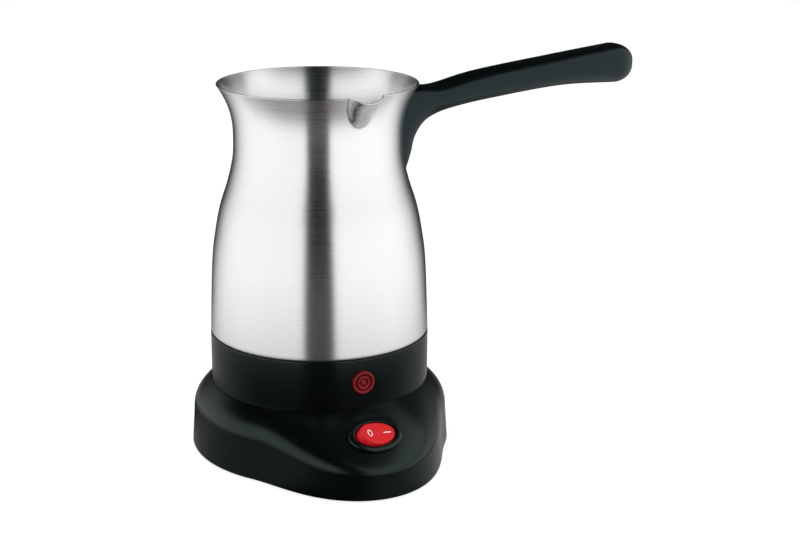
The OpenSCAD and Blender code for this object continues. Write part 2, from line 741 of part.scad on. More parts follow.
module base_housing() color([0.08, 0.09, 0.09]) difference() {
    union() {
        difference() {
            base_form(0, foot_proud);
            base_form(base_wall, foot_proud - 1);
        }
        intersection() {
            base_form(0.2, foot_proud);
            union() {
                translate([0, 0, tub_floor_z]) cylinder(r = well_r + tub_wall, h = 30);
                for (q = boss_places) translate([q[0], q[1], boss_foot_z])
                    cylinder(r = boss_r, h = tub_floor_z - boss_foot_z + 1, $fn = 48);
            }
        }
    }
    translate([0, 0, well_floor_h]) cylinder(r = well_r, h = 30, $fn = 128);
    cylinder(r = tower_r + 0.2, h = 60);
    for (q = boss_places) translate([q[0], q[1], 0])
        cylinder(r = screw_r + fit, h = boss_foot_z + screw_len, $fn = 32);
    on_seat() {
        linear_extrude(height = 12) polygon(oval(land_a, land_b));
        translate([0, 0, -12]) linear_extrude(height = 20)
            polygon(oval(frame_a + 0.15, frame_b + 0.15));
    }
    translate([0, 0, gland_h]) rotate([-90, 0, 0])
        cylinder(r = gland_r + loose, h = base_r + 10, $fn = 64);
}

module base_plate() color([0.1, 0.1, 0.1]) difference() {
    union() {
        translate([0, 0, plate_z]) linear_extrude(height = bottom_t)
            polygon(plan(plate_top_z, base_wall + loose));
        for (q = boss_places) translate([q[0], q[1], plate_z])
            cylinder(r = boss_r + 1, h = boss_foot_z - plate_z, $fn = 48);
        difference() {
            translate([0, 0, plate_z]) tube(rib_r + rib_t, rib_r, tower_flange_z - plate_z);
            translate([-lead_gate_w / 2, -rib_r - 5, plate_top_z + 1])
                cube([lead_gate_w, 10, lead_gate_h]);
        }
    }
    for (q = foot_places) translate([q[0], q[1], plate_z - 1])
        cylinder(r = foot_r + 0.1, h = 1 + foot_sink, $fn = 64);
    for (q = boss_places) translate([q[0], q[1], plate_z - 1]) {
        cylinder(r = screw_r + loose / 2, h = 10, $fn = 32);
        cylinder(r = screw_head_r + loose, h = boss_foot_z - plate_z - 0.8, $fn = 32);
    }
}

module rubber_feet() color([0.2, 0.2, 0.2]) for (q = foot_places) translate([q[0], q[1], 0])
    cylinder(r = foot_r, h = plate_z + foot_sink, $fn = 64);

module base_screws() color([0.6, 0.6, 0.6]) for (q = boss_places)
    translate([q[0], q[1], boss_foot_z - 1.8])
        screw(screw_r, screw_head_r, head_h, screw_len + 1);

module base_connector() color([0.14, 0.14, 0.14]) difference() {
    union() {
        translate([0, 0, tower_foot_z])
            cylinder(r = tower_body_r, h = tower_flange_z - tower_foot_z + 1);
        translate([0, 0, tower_flange_z]) cylinder(r = tower_flange_r, h = tower_flange_t);
        translate([0, 0, tower_flange_z]) cylinder(r = tower_r, h = tower_top_z - tower_flange_z - 1);
        translate([0, 0, tower_top_z - 1]) cylinder(r1 = tower_r, r2 = tower_r - 1, h = 1);
    }
    translate([0, 0, tower_top_z - socket_depth])
        cylinder(r = pin_r + 0.4, h = socket_depth + 1, $fn = 48);
    translate([0, 0, tower_top_z - slot_depth]) tube(slot_out_r, slot_in_r, slot_depth + 1);
    cylinder(r = tail_r + fit, h = tower_top_z, $fn = 32);
    translate([0, ring_tail_y, 0])
        cylinder(r = tail_r + fit, h = tower_top_z - slot_depth + 1, $fn = 32);
}

module connector_sockets() color([0.8, 0.65, 0.3]) {
    // centre socket with its tail
    translate([0, 0, tower_top_z - socket_depth]) {
        difference() {
            cylinder(r = pin_r + 0.35, h = socket_depth - 2, $fn = 48);
            translate([0, 0, 2]) cylinder(r = pin_r + 0.1, h = socket_depth, $fn = 48);
        }
        translate([0, 0, tail_foot_z - tower_top_z + socket_depth])
            cylinder(r = tail_r, h = tower_top_z - socket_depth - tail_foot_z, $fn = 32);
    }
    // leaf and tail of the ring contact
    translate([0, 0, tower_top_z - slot_depth]) rotate(-90 - 20) rotate_extrude(angle = 40)
        translate([blade_out_r + 0.15, 0]) square([slot_out_r - blade_out_r - 0.2, slot_depth - 3]);
    translate([0, ring_tail_y, tail_foot_z])
        cylinder(r = tail_r, h = tower_top_z - slot_depth - tail_foot_z, $fn = 32);
}

module switch_frame() color([0.06, 0.07, 0.07]) on_seat() difference() {
    union() {
        for (step = bezel_steps) translate([0, 0, step[0]]) linear_extrude(height = step[1])
            polygon(oval(bezel_a - step[2], bezel_b - step[2]));
        translate([0, 0, -switch_depth]) linear_extrude(height = switch_depth + 0.5)
            polygon(oval(frame_a, frame_b));
    }
    translate([0, 0, -switch_depth + 1.5]) linear_extrude(height = switch_depth + 5)
        polygon(oval(opening_a, opening_b));
    translate([0, 0, pivot_w]) rotate([90, 0, 0])
        cylinder(r = pivot_r + fit, h = 2 * frame_b + 0.1, center = true, $fn = 32);
    for (x = terminal_xs) translate([x - terminal_t / 2 - fit, -terminal_w / 2 - fit, -switch_depth - 1])
        cube([terminal_t + 2 * fit, terminal_w + 2 * fit, 4]);
}

module switch_terminals() color([0.8, 0.65, 0.3]) on_seat() for (x = terminal_xs)
    translate([x - terminal_t / 2, -terminal_w / 2, -switch_depth - terminal_len])
        cube([terminal_t, terminal_w, terminal_len + 2.2]);

// The rocker's body is an ellipsoid about its pivot, so that it clears the oval frame at
// every angle; its top is two shallow ramps, turned here to the pressed side
module rocker() color([0.85, 0.1, 0.14]) on_seat() translate([0, 0, pivot_w])
    rotate([0, -rocker_tilt, 0]) {
        intersection() {
            rotate([90, 0, 0]) rotate_extrude() polygon([for (i = [-18:18])
                [rocker_a * cos(5 * i), rocker_b * sin(5 * i)]]);
            rotate([90, 0, 0]) linear_extrude(height = 2 * rocker_b, center = true) polygon([
                [-rocker_a, apex_w - pivot_w + rocker_a * tan(rocker_tilt)],
                [0, apex_w - pivot_w],
                [rocker_a, apex_w - pivot_w + rocker_a * tan(rocker_tilt)],
                [rocker_a, rocker_side_z], [rocker_keel_w, rocker_keel_z],
                [-rocker_keel_w, rocker_keel_z], [-rocker_a, rocker_side_z]]);
        }
        rotate([90, 0, 0]) cylinder(r = pivot_r, h = 2 * frame_b - 0.3, center = true, $fn = 32);
    }

lead_r = 1.1;

module switch_lead() color([0.5, 0.3, 0.15]) {
    seat = [0, -switch_y, switch_z];
    out = [0, -sin(switch_slope), cos(switch_slope)];
    x = terminal_xs[0];
    tip = seat + [x, 0, 0] - out * (switch_depth + terminal_len + 0.4);
    lead_z = tail_foot_z - lead_r - fit;
    lead([tip, tip - out * 1.2, [x, tip[1] + 6, lead_z - 0.8], [x, -rib_r - 8, lead_z],
        [x + 3, -rib_r, lead_z], [0, ring_tail_y, lead_z], [0.4, ring_tail_y + 1.7, lead_z]],
        lead_r);
}

module cord_gland() color([0.09, 0.09, 0.09]) translate([0, 0, gland_h]) rotate([-90, 0, 0])
    difference() {
        union() {
            translate([0, 0, gland_in_y]) cylinder(r = gland_r, h = gland_len, $fn = 64);
            translate([0, 0, gland_out_y]) cylinder(r = gland_flange_r, h = gland_flange_t, $fn = 64);
            translate([0, 0, gland_in_y]) cylinder(r = gland_lip_r, h = gland_lip_t, $fn = 64);
        }
        translate([0, 0, gland_in_y - 1]) cylinder(r = gland_bore_r, h = gland_len + 2, $fn = 64);
    }

base_housing();
base_plate();
rubber_feet();
base_screws();
base_connector();
connector_sockets();
switch_frame();
switch_terminals();
switch_lead();
cord_gland();
rocker();
pot_shell();
pot_collar();
pot_seal();
collar_cover();
cover_posts();
cover_screws();
pot_connector();
connector_pins();
connector_screws();
heat_plate();
heating_element();
element_pins();
thermostat();
thermal_fuse();
fuse_clip();
pot_leads();
indicator_lens();
lamp_clip();
neon_lamp();
handle();
handle_bracket();
handle_screw();
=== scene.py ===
"""Surfaces, finishes and studio for an electric pot for Turkish coffee on its base.

The part's frame: metres, +Z up, the origin on the pot's axis at the feet, the switch at the
front towards -Y and the handle towards +X. Angles named `front` are counted from the front,
-Y, and grow towards +X, so a point at (radius, front, height) is at
(radius sin front, -radius cos front, height).
"""
import math

import bpy
import numpy as np
from mathutils import Matrix, Vector


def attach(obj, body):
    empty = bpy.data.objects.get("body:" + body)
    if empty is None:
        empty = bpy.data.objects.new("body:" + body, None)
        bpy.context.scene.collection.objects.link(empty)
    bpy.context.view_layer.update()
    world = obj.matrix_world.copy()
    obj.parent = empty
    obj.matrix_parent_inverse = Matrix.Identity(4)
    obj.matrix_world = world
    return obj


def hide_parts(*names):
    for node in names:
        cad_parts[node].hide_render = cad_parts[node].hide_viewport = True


bl_info = {
    "name": "Electric Turkish coffee pot",
    "version": (1, 0, 0),
    "blender": (4, 5, 0),
    "location": "View3D > Sidebar > Coffee Pot",
    "description": "Dresses the packed coffee pot and its base, and sets up their studio",
    "category": "Object",
}

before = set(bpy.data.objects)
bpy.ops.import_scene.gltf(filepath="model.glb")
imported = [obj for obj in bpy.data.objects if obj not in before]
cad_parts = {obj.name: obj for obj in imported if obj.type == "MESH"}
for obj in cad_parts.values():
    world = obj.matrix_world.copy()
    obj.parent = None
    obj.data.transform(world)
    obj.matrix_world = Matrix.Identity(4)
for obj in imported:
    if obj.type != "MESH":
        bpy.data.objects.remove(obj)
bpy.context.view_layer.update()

MM = 0.001
NORMAL_LIMIT = math.radians(32)     # edges sharper than this are shaded hard


# ---- sizes and colours that a user would change

def length(name, description, millimetres):
    """Size that is given here in millimetres and held in metres."""
    return bpy.props.FloatProperty(
        name=name, description=description, default=millimetres * MM, min=0.0,
        soft_max=200 * MM, precision=5, unit="LENGTH", subtype="DISTANCE")


def colour(name, description, rgb):
    """Plain colour of a finish."""
    return bpy.props.FloatVectorProperty(
        name=name, description=description, default=rgb, size=3, min=0.0, max=1.0,
        subtype="COLOR")


def share(name, description, value):
    """Number from 0 to 1."""
    return bpy.props.FloatProperty(
        name=name, description=description, default=value, min=0.0, max=1.0, subtype="FACTOR")


def angle(name, description, degrees):
    """Angle that is given here in degrees and held in radians."""
    return bpy.props.FloatProperty(
        name=name, description=description, default=math.radians(degrees), subtype="ANGLE")


class PotSizes(bpy.types.PropertyGroup):
    """Sizes of the steel pot, its collar and its handle"""
    belly_r: length("Belly radius", "Radius of the steel just above the collar", 49.9)
    neck_r: length("Neck radius", "Radius of the narrowest part of the neck", 37.8)
    rim_r: length("Rim radius", "Radius of the flared rim", 44.8)
    belly_z: length("Belly height", "Height of the steel's lower edge", 55.7)
    neck_z: length("Neck height", "Height of the narrowest part of the neck", 145.0)
    rim_z: length("Rim height", "Height of the rim", 167.3)
    sheet_t: length("Sheet", "Thickness of the steel sheet", 0.8)
    spout_turn: angle("Spout turn", "Angle of the lip from the front, towards the handle", 5.5)
    spout_reach: length("Spout reach", "How far the lip stands out of the rim", 3.6)
    spout_half: length("Spout half width", "Half of the lip's width at the rim", 8.2)
    spout_h: length("Spout height", "Height of the lip's groove", 13.2)
    spout_dip: length("Spout dip", "How far the edge dips at the lip", 2.0)
    collar_r: length("Collar radius", "Outer radius of the black collar", 50.0)
    collar_foot: length("Collar foot", "Height of the collar's lower edge", 28.0)
    collar_top: length("Collar top", "Height of the collar's upper edge", 54.4)
    collar_round: length("Collar rounding", "Radius of the collar's lower edge", 4.0)
    lens_r: length("Lens radius", "Radius of the red lens", 5.1)
    lens_z: length("Lens height", "Height of the lens' centre", 44.0)
    grip_half: length("Grip half width", "Half of the handle's width at the grip", 9.6)
    grip_end: length("Grip end", "Length of the handle's rounded end", 10.8)


class BaseSizes(bpy.types.PropertyGroup):
    """Sizes of the base and its switch"""
    base_r: length("Base radius", "Radius of the base's round part at its foot", 59.8)
    lobe_reach: length("Lobe reach", "How far the lobe reaches past the round part", 18.9)
    lobe_half: angle("Lobe half angle", "Half of the angle that the lobe spans", 54)
    draft: bpy.props.FloatProperty(
        name="Draft", description="Inward lean of the wall per height", default=0.07)
    foot_z: length("Housing foot", "Height of the housing's lower edge", 0.6)
    shoulder_z: length("Shoulder", "Height at which the wall turns into the shoulder", 16.0)
    well_r: length("Well radius", "Radius of the well that the pot stands in", 50.6)
    well_floor: length("Well floor", "Height of the well's floor", 28.0)
    rim_z: length("Well rim", "Height of the rim of the well", 32.0)
    wall_t: length("Skin", "Thickness of the housing's skin, thin enough for the well's rim", 0.6)
    tower_r: length("Tower radius", "Radius of the connector tower in the well", 16.0)
    switch_y: length("Switch distance", "Distance of the switch from the pot's axis", 63.0)
    switch_z: length("Switch height", "Height of the switch's seat", 23.3)
    switch_slope: angle("Switch slope", "Slope of the switch's seat", 32)
    land_depth: length("Land depth", "How deep the flat land round the bezel is cut", 0.6)
    bezel_a: length("Bezel half length", "Half of the bezel's length", 12.5)
    bezel_b: length("Bezel half width", "Half of the bezel's width", 8.7)
    bezel_h: length("Bezel height", "Height of the bezel above its seat", 2.0)
    rocker_a: length("Rocker half length", "Half of the rocker's length", 8.95)
    rocker_b: length("Rocker half width", "Half of the rocker's width", 5.85)
    rocker_tilt: angle("Rocker tilt", "Tilt of the rocker's two faces", 8)


class Finishes(bpy.types.PropertyGroup):
    """Colours and gloss of the finishes"""
    steel: colour("Steel", "Brushed steel of the pot", (0.93, 0.925, 0.915))
    steel_rough: share("Steel roughness", "Roughness of the brushed steel", 0.28)
    collar: colour("Collar", "Plastic of the collar", (0.0012, 0.0015, 0.0015))
    collar_rough: share("Collar roughness", "Roughness of the collar", 0.19)
    base: colour("Base", "Plastic of the base", (0.0012, 0.0016, 0.0016))
    base_rough: share("Base roughness", "Roughness of the base", 0.25)
    handle: colour("Handle", "Plastic of the handle", (0.0014, 0.002, 0.0021))
    handle_rough: share("Handle roughness", "Roughness of the handle", 0.28)
    rocker: colour("Rocker", "Red plastic of the rocker", (0.53, 0.008, 0.014))
    lens: colour("Lens", "Red plastic of the lens", (0.17, 0.004, 0.008))
    mark: colour("Marks", "Printed marks of the rocker", (0.92, 0.80, 0.80))


# ---- curves

def smooth(t):
    """0 below 0 and 1 above 1, and in between 3 t squared minus 2 t cubed."""
    t = np.clip(t, 0.0, 1.0)
    return t * t * (3.0 - 2.0 * t)


def rise(value, start, width):
    """0 up to start, then smoothly up to 1 over the width."""
    return smooth((value - start) / width)


def lerp(a, b, t):
    """The value t of the way from a to b."""
    return a + (b - a) * t


def around(steps):
    """Even angles once round, as a row."""
    return np.linspace(0, 2 * np.pi, steps, endpoint=False)[None, :]


def crowded(steps, pull):
    """Angles once round, closest at 0: the even angle less pull times its sine."""
    u = np.linspace(-np.pi, np.pi, steps, endpoint=False)[None, :]
    return u - pull * np.sin(u)


def round_z(radius, front, height):
    """Points at a radius, an angle from the front and a height."""
    return np.stack(np.broadcast_arrays(radius * np.sin(front), -radius * np.cos(front), height),
                    -1)


def spline(rows, steps):
    """Curve through all the rows: between two rows it is the cubic whose slope at each is
    half of the way from the row before to the row after."""
    p = np.asarray(rows, float)
    last = len(p) - 1
    i = np.repeat(np.arange(last), steps)
    t = np.tile(np.arange(steps) / steps, last)[:, None]
    a, b, c, d = p[np.maximum(i - 1, 0)], p[i], p[i + 1], p[np.minimum(i + 2, last)]
    q = (2 * b + (c - a) * t + (2 * a - 5 * b + 4 * c - d) * t ** 2
         + (3 * b - a - 3 * c + d) * t ** 3) / 2
    return np.vstack([q, p[-1]])


def arc(centre, radius, start, end, steps):
    """Points of a circle's arc in a plane, from angle start to end in degrees."""
    a = np.radians(np.linspace(start, end, steps))
    return np.stack([centre[0] + radius * np.cos(a), centre[1] + radius * np.sin(a)], 1)


def fine(points, gap):
    """The same open line with extra points, so that no two neighbours are farther than gap."""
    points = np.asarray(points, float)
    out = [points[:1]]
    for a, b in zip(points[:-1], points[1:]):
        n = max(1, int(math.ceil(np.linalg.norm(b - a) / gap)))
        out.append(a + (b - a) * (np.arange(1, n + 1) / n)[:, None])
    return np.vstack(out)


# ---- meshes

def quads(rows, cols, wrap_rows=False, wrap_cols=False):
    """Index quads of a grid of points, row after row."""
    r = np.arange(rows if wrap_rows else rows - 1)[:, None]
    c = np.arange(cols if wrap_cols else cols - 1)[None, :]
    r1, c1 = (r + 1) % rows, (c + 1) % cols
    return np.stack([r * cols + c, r * cols + c1, r1 * cols + c1, r1 * cols + c], -1).reshape(-1, 4)


def new_object(name, data):
    """Object of a mesh, a lamp or a camera, linked to the scene."""
    obj = bpy.data.objects.new(name, data)
    bpy.context.scene.collection.objects.link(obj)
    return obj


def signed_volume(points, tris):
    """Six times the enclosed volume: the sum over all triangles of a . (b x c)."""
    a, b, c = (points[tris[:, k]] for k in range(3))
    return float(np.einsum("ij,ij->i", a, np.cross(b, c)).sum())


def make_mesh(name, points, ring=False, capped=False, gone=None):
    """Mesh object from a grid's points (rows, cols, 3), whose rows go once round. ring joins
    the last row to the first, capped closes these two with a fan of triangles to their middle,
    and a quad whose four points are all gone is left out. Faces are turned so that the volume
    they enclose is positive, which makes them point outwards."""
    rows, cols = points.shape[:2]
    flat = points.reshape(-1, 3)
    faces = quads(rows, cols, wrap_rows=ring, wrap_cols=True)
    tris = np.zeros((0, 3), int)
    if capped:
        first = np.arange(cols)
        after = (first + 1) % cols
        last = (rows - 1) * cols
        middle = np.full(cols, len(flat))
        tris = np.vstack([np.stack([after, first, middle], 1),
                          np.stack([last + first, last + after, middle + 1], 1)])
        flat = np.vstack([flat, points[0].mean(0), points[-1].mean(0)])
    if gone is not None:
        faces = faces[~gone.reshape(-1)[faces].all(1)]
    if signed_volume(flat, np.vstack([faces[:, [0, 1, 2]], faces[:, [0, 2, 3]], tris])) < 0:
        faces, tris = faces[:, ::-1], tris[:, ::-1]
    used = np.zeros(len(flat), bool)
    used[faces] = True
    used[tris] = True
    number = np.cumsum(used) - 1
    mesh = bpy.data.meshes.new(name)
    mesh.from_pydata(flat[used].tolist(), [], number[faces].tolist() + number[tris].tolist())
    mesh.validate()
    mesh.update()
    return new_object(name, mesh)


def point_tones(mesh, name, tones):
    """Adds a point attribute that holds a grey or a colour for each point of the mesh."""
    rgba = np.ones((len(tones), 4))
    rgba[:, :3] = tones
    mesh.color_attributes.new(name, "FLOAT_COLOR", "POINT").data.foreach_set("color", rgba.ravel())


def canopy_mirrors():
    """Collection of the pieces that mirror the canopy's left half: the pot's, not the base's."""
    name = "canopy_mirrors"
    return bpy.data.collections.get(name) or bpy.data.collections.new(name)


def dress(obj, finish, body, replaces=(), limit=NORMAL_LIMIT):
    """Gives a piece its finish, shading and body; the pot's pieces join the canopy's mirrors, and
    the solids it replaces are hidden.
    """
    obj.data.materials.clear()
    obj.data.materials.append(finish)
    obj.data.polygons.foreach_set("use_smooth", np.ones(len(obj.data.polygons), bool))
    obj.data.set_sharp_from_angle(angle=limit)
    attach(obj, body)
    if body == "pot":
        canopy_mirrors().objects.link(obj)
    if replaces:
        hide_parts(*replaces)


def turned(name, line, steps):
    """Closed ring round Z: each point (radius, height) of the line at each angle."""
    line = np.asarray(line, float)
    return make_mesh(name, round_z(line[:, :1], around(steps), line[:, 1:]), ring=True)


# ---- finishes

def node(tree, kind, links=None, **values):
    """Adds a shader node; values set its inputs, or its own settings where the name is one."""
    made = tree.nodes.new(kind)
    for key, value in values.items():
        if hasattr(made, key):
            setattr(made, key, value)
        else:
            made.inputs[key.replace("_", " ")].default_value = value
    for key, socket in (links or {}).items():
        tree.links.new(socket, made.inputs[key])
    return made


def new_finish(name, **sockets):
    """Material with one Principled shader whose plain numbers are set on its own sockets."""
    finish = bpy.data.materials.new(name)
    finish.use_nodes = True
    tree = finish.node_tree
    shader = tree.nodes["Principled BSDF"]
    for key, value in sockets.items():
        shader.inputs[key.replace("_", " ")].default_value = value
    place = node(tree, "ShaderNodeTexCoord")
    return finish, tree, shader, place.outputs["Object"]


def mapped(tree, place, **values):
    """The place, scaled or turned by a Mapping node."""
    return node(tree, "ShaderNodeMapping", {"Vector": place}, **values).outputs["Vector"]


def noise(tree, place, scale, detail, **values):
    """Noise whose largest grains are about 1 / scale metres wide."""
    return node(tree, "ShaderNodeTexNoise", {"Vector": place}, Scale=scale, Detail=detail,
                **values).outputs["Fac"]


def add_bump(tree, shader, height, strength, distance=0.1 * MM):
    """The surface leans as if the pattern were up to the distance high."""
    bump = node(tree, "ShaderNodeBump", {"Height": height}, Strength=strength, Distance=distance)
    tree.links.new(bump.outputs["Normal"], shader.inputs["Normal"])


def vary_colour(tree, shader, factor, low, high, ends=(0.3, 0.7)):
    """The base colour runs from low to high between two values of the factor."""
    ramp = node(tree, "ShaderNodeValToRGB", {"Fac": factor})
    for element, rgb, place in zip(ramp.color_ramp.elements, (low, high), ends):
        element.color, element.position = (*rgb, 1.0), place
    tree.links.new(ramp.outputs["Color"], shader.inputs["Base Color"])


def vary_rough(tree, shader, factor, low, high):
    """The roughness runs from low to high as the factor goes from 0.3 to 0.7."""
    spread = node(tree, "ShaderNodeMapRange", {"Value": factor}, From_Min=0.3, From_Max=0.7,
                  To_Min=low, To_Max=high)
    tree.links.new(spread.outputs["Result"], shader.inputs["Roughness"])


def shaded(rgb, factor):
    """The colour times the factor, at most white."""
    return tuple(min(1.0, c * factor) for c in rgb)


def brushed_steel(name, rgb, rough, lines, streak):
    """Steel brushed in lines round the Z axis: noise that is long along the brushing and very
    short across it drives colour, roughness and bump."""
    finish, tree, shader, place = new_finish(name, Metallic=1.0, Anisotropic=0.9,
                                             Anisotropic_Rotation=0.25)
    tangent = node(tree, "ShaderNodeTangent", direction_type="RADIAL", axis="Z")
    tree.links.new(tangent.outputs["Tangent"], shader.inputs["Tangent"])
    scratch = noise(tree, mapped(tree, place, Scale=(streak, streak, lines)), 1.0, 3.0,
                    Roughness=0.6)
    vary_colour(tree, shader, scratch, shaded(rgb, 0.98), shaded(rgb, 1.012))
    vary_rough(tree, shader, scratch, rough * 0.95, rough * 1.06)
    add_bump(tree, shader, scratch, 0.016, 0.05 * MM)
    return finish


def grained(name, rgb, shades, rough, spread, grain, bump, flow=None, **sockets):
    """Finish with a noise (scale, detail) in its bump (strength, distance). The same noise, or
    a broader one, flow, moves colour and roughness between shares of their mean."""
    finish, tree, shader, place = new_finish(name, **sockets)
    skin = noise(tree, place, *grain)
    cloud = noise(tree, place, *flow) if flow else skin
    vary_colour(tree, shader, cloud, *(shaded(rgb, shade) for shade in shades))
    vary_rough(tree, shader, cloud, *(rough * share_of for share_of in spread))
    add_bump(tree, shader, skin, *bump)
    return finish


def moulded_plastic(name, rgb, rough, grain=1400.0, depth=0.06, gloss=0.5, tint=(1, 1, 1)):
    """Moulded plastic: a fine even grain, and broad faint flow marks."""
    return grained(name, rgb, (0.85, 1.15), rough, (0.95, 1.07), (grain, 2.0),
                   (depth, 0.08 * MM), (45.0, 3.0), Specular_IOR_Level=gloss,
                   Specular_Tint=(*tint, 1.0))


def cast_metal(name, rgb, rough, grain=700.0, depth=0.15):
    """Plain metal with small grains."""
    return grained(name, rgb, (0.88, 1.08), rough, (0.85, 1.2), (grain, 4.0), (depth,),
                   Metallic=1.0)


def soft_rubber(name, rgb, rough):
    """Matte rubber: dusty mottling over a fine grain."""
    return grained(name, rgb, (0.8, 1.3), rough, (0.9, 1.1), (260.0, 5.0), (0.2,),
                   Specular_IOR_Level=0.35)


def lamp_glass(name, rgb):
    """Clear glass of the small lamp, tinted by the orange glow of its gas."""
    return grained(name, rgb, (0.85, 1.0), 0.05, (1.0, 1.0), (300.0, 2.0), (0.03,),
                   Transmission_Weight=0.85)


def braided_sleeve(name, rgb):
    """Woven glass sleeve of a lead: the higher of two crossing sets of fine waves."""
    finish, tree, shader, place = new_finish(name, Roughness=0.75)
    across = mapped(tree, place, Rotation=(0.0, 0.0, math.radians(90)))
    waves = [node(tree, "ShaderNodeTexWave", {"Vector": way}, wave_type="BANDS",
                  bands_direction="DIAGONAL", Scale=420.0, Distortion=1.0).outputs["Fac"]
             for way in (place, across)]
    weave = node(tree, "ShaderNodeMath", dict(enumerate(waves)), operation="MAXIMUM")
    vary_colour(tree, shader, weave.outputs["Value"], shaded(rgb, 0.7), rgb)
    add_bump(tree, shader, weave.outputs["Value"], 0.4)
    return finish


def clear_red(name, rgb, rough, tones=None):
    """Red see-through plastic: light scatters a little under a glossy skin. tones names a point
    attribute of the mesh that darkens the red; on the lens this is painted shade in its grooves."""
    finish, tree, shader, place = new_finish(
        name, Subsurface_Weight=0.25, Subsurface_Radius=(1.0, 0.2, 0.1), Subsurface_Scale=0.001,
        Specular_IOR_Level=0.3)
    cloud = noise(tree, place, 180.0, 2.0)
    if tones:
        tone = node(tree, "ShaderNodeAttribute", attribute_name=tones)
        vary_colour(tree, shader, tone.outputs["Fac"], shaded(rgb, 0.04), shaded(rgb, 1.5),
                    (0.0, 1.0))
    else:
        vary_colour(tree, shader, cloud, shaded(rgb, 0.93), shaded(rgb, 1.05))
    vary_rough(tree, shader, cloud, rough * 0.9, rough * 1.1)
    add_bump(tree, shader, cloud, 0.04)
    return finish


# ---- the pot

# shares of the height and of the way from the belly's radius to the neck's
BELLY_SHAPE = [[0, 0], [0.34, 0.107], [0.5, 0.251], [0.636, 0.455], [0.768, 0.768],
               [0.89, 0.968], [1, 1]]
FLARE_POWER = 2.2
LIP_POWER, LIP_ROUND, DIP_POWER = 2.6, 0.8, 1.6


def pot_line(s, steps=8):
    """(radius, height) of the pot's wall: from belly to neck a smooth curve through given
    shares of height and way, then a flare that grows with the height to FLARE_POWER."""
    q = spline(BELLY_SHAPE, steps)
    low = np.stack([lerp(s.belly_r, s.neck_r, q[:, 1]), lerp(s.belly_z, s.neck_z, q[:, 0])], 1)
    t = np.linspace(0, 1, 3 * steps + 1)[1:]
    high = np.stack([lerp(s.neck_r, s.rim_r, t ** FLARE_POWER), lerp(s.neck_z, s.rim_z, t)], 1)
    return np.vstack([low, high])


def wall_at(s, height, above=False):
    """Radius of the pot's wall at a height; above the neck it is the neck's, unless above."""
    line = pot_line(s)
    top = s.rim_z if above else s.neck_z
    return np.interp(np.minimum(height, top), line[:, 1], line[:, 0])


def spout_bulge(s, front, height):
    """Share, 0 to 1, of the lip's reach at a place of the wall: 1 less the square of the way
    across in half widths, less the way down in heights to LIP_POWER, all to LIP_ROUND."""
    turn = front - s.spout_turn
    across = np.sin(turn) * s.rim_r / s.spout_half
    down = np.maximum(s.rim_z - height, 0.0) / s.spout_h
    left = np.clip(1 - (across ** 2 + down ** LIP_POWER), 0.0, 1.0)
    return np.where(np.cos(turn) > 0, left ** LIP_ROUND, 0.0)


class POT_OT_shell(bpy.types.Operator):
    """Makes the thin steel pot with its flared, rolled rim and its pouring lip"""
    bl_idname = "coffeepot.shell"
    bl_label = "Steel pot"

    def execute(self, context):
        s, f = context.scene.pot_sizes, context.scene.pot_finishes
        front = crowded(340, 0.62) + s.spout_turn
        line = fine(pot_line(s), 1.1 * MM)
        half = s.sheet_t / 2
        step = s.belly_z - s.sheet_t
        fold, bend = 0.55 * MM, 2 * MM
        # outside wall, from the fold at the collar up to the rim
        outer = np.vstack([fine([[s.belly_r - 4 * MM, step], [s.belly_r - 1 * MM, step]], 1 * MM),
                           arc((s.belly_r - fold, step + fold), fold, -70, 0, 5), line[1:]])
        # the rolled edge is a small bead that the sheet is turned into
        bead = arc((s.rim_r - half, s.rim_z), half * 1.15, 8, 172, 9)
        inner = line[::-1][:-1] - [s.sheet_t, 0.0]
        floor_r, floor_z = s.belly_r - 3.6 * MM, step - 2.2 * MM
        bowl = np.vstack([arc((floor_r - bend, floor_z + bend), bend, 0, -90, 7),
                          fine([[floor_r - 3 * MM, floor_z], [1 * MM, floor_z]], 2.5 * MM)])
        under = np.vstack([fine([[1 * MM, floor_z - s.sheet_t],
                                 [floor_r - 1 * MM, floor_z - s.sheet_t]], 4 * MM),
                           [[floor_r + 0.5 * MM, floor_z], [floor_r + 0.8 * MM, step - 0.1 * MM]]])
        loop = np.vstack([outer, bead, inner, bowl, under])
        height = loop[:, 1:] + 0 * front
        bulge = spout_bulge(s, front, height)
        # only the wall's uppermost part dips with the edge
        dip_h = 6 * MM
        dip = s.spout_dip * bulge ** DIP_POWER * rise(height, s.rim_z - dip_h, dip_h)
        obj = make_mesh("pot_shell_skin",
                        round_z(loop[:, :1] + s.spout_reach * bulge, front, height - dip))
        finish = brushed_steel("steel_brushed_round", f.steel, f.steel_rough, 2600.0, 14.0)
        dress(obj, finish, "pot", ["pot_shell"], math.radians(50))
        return {"FINISHED"}


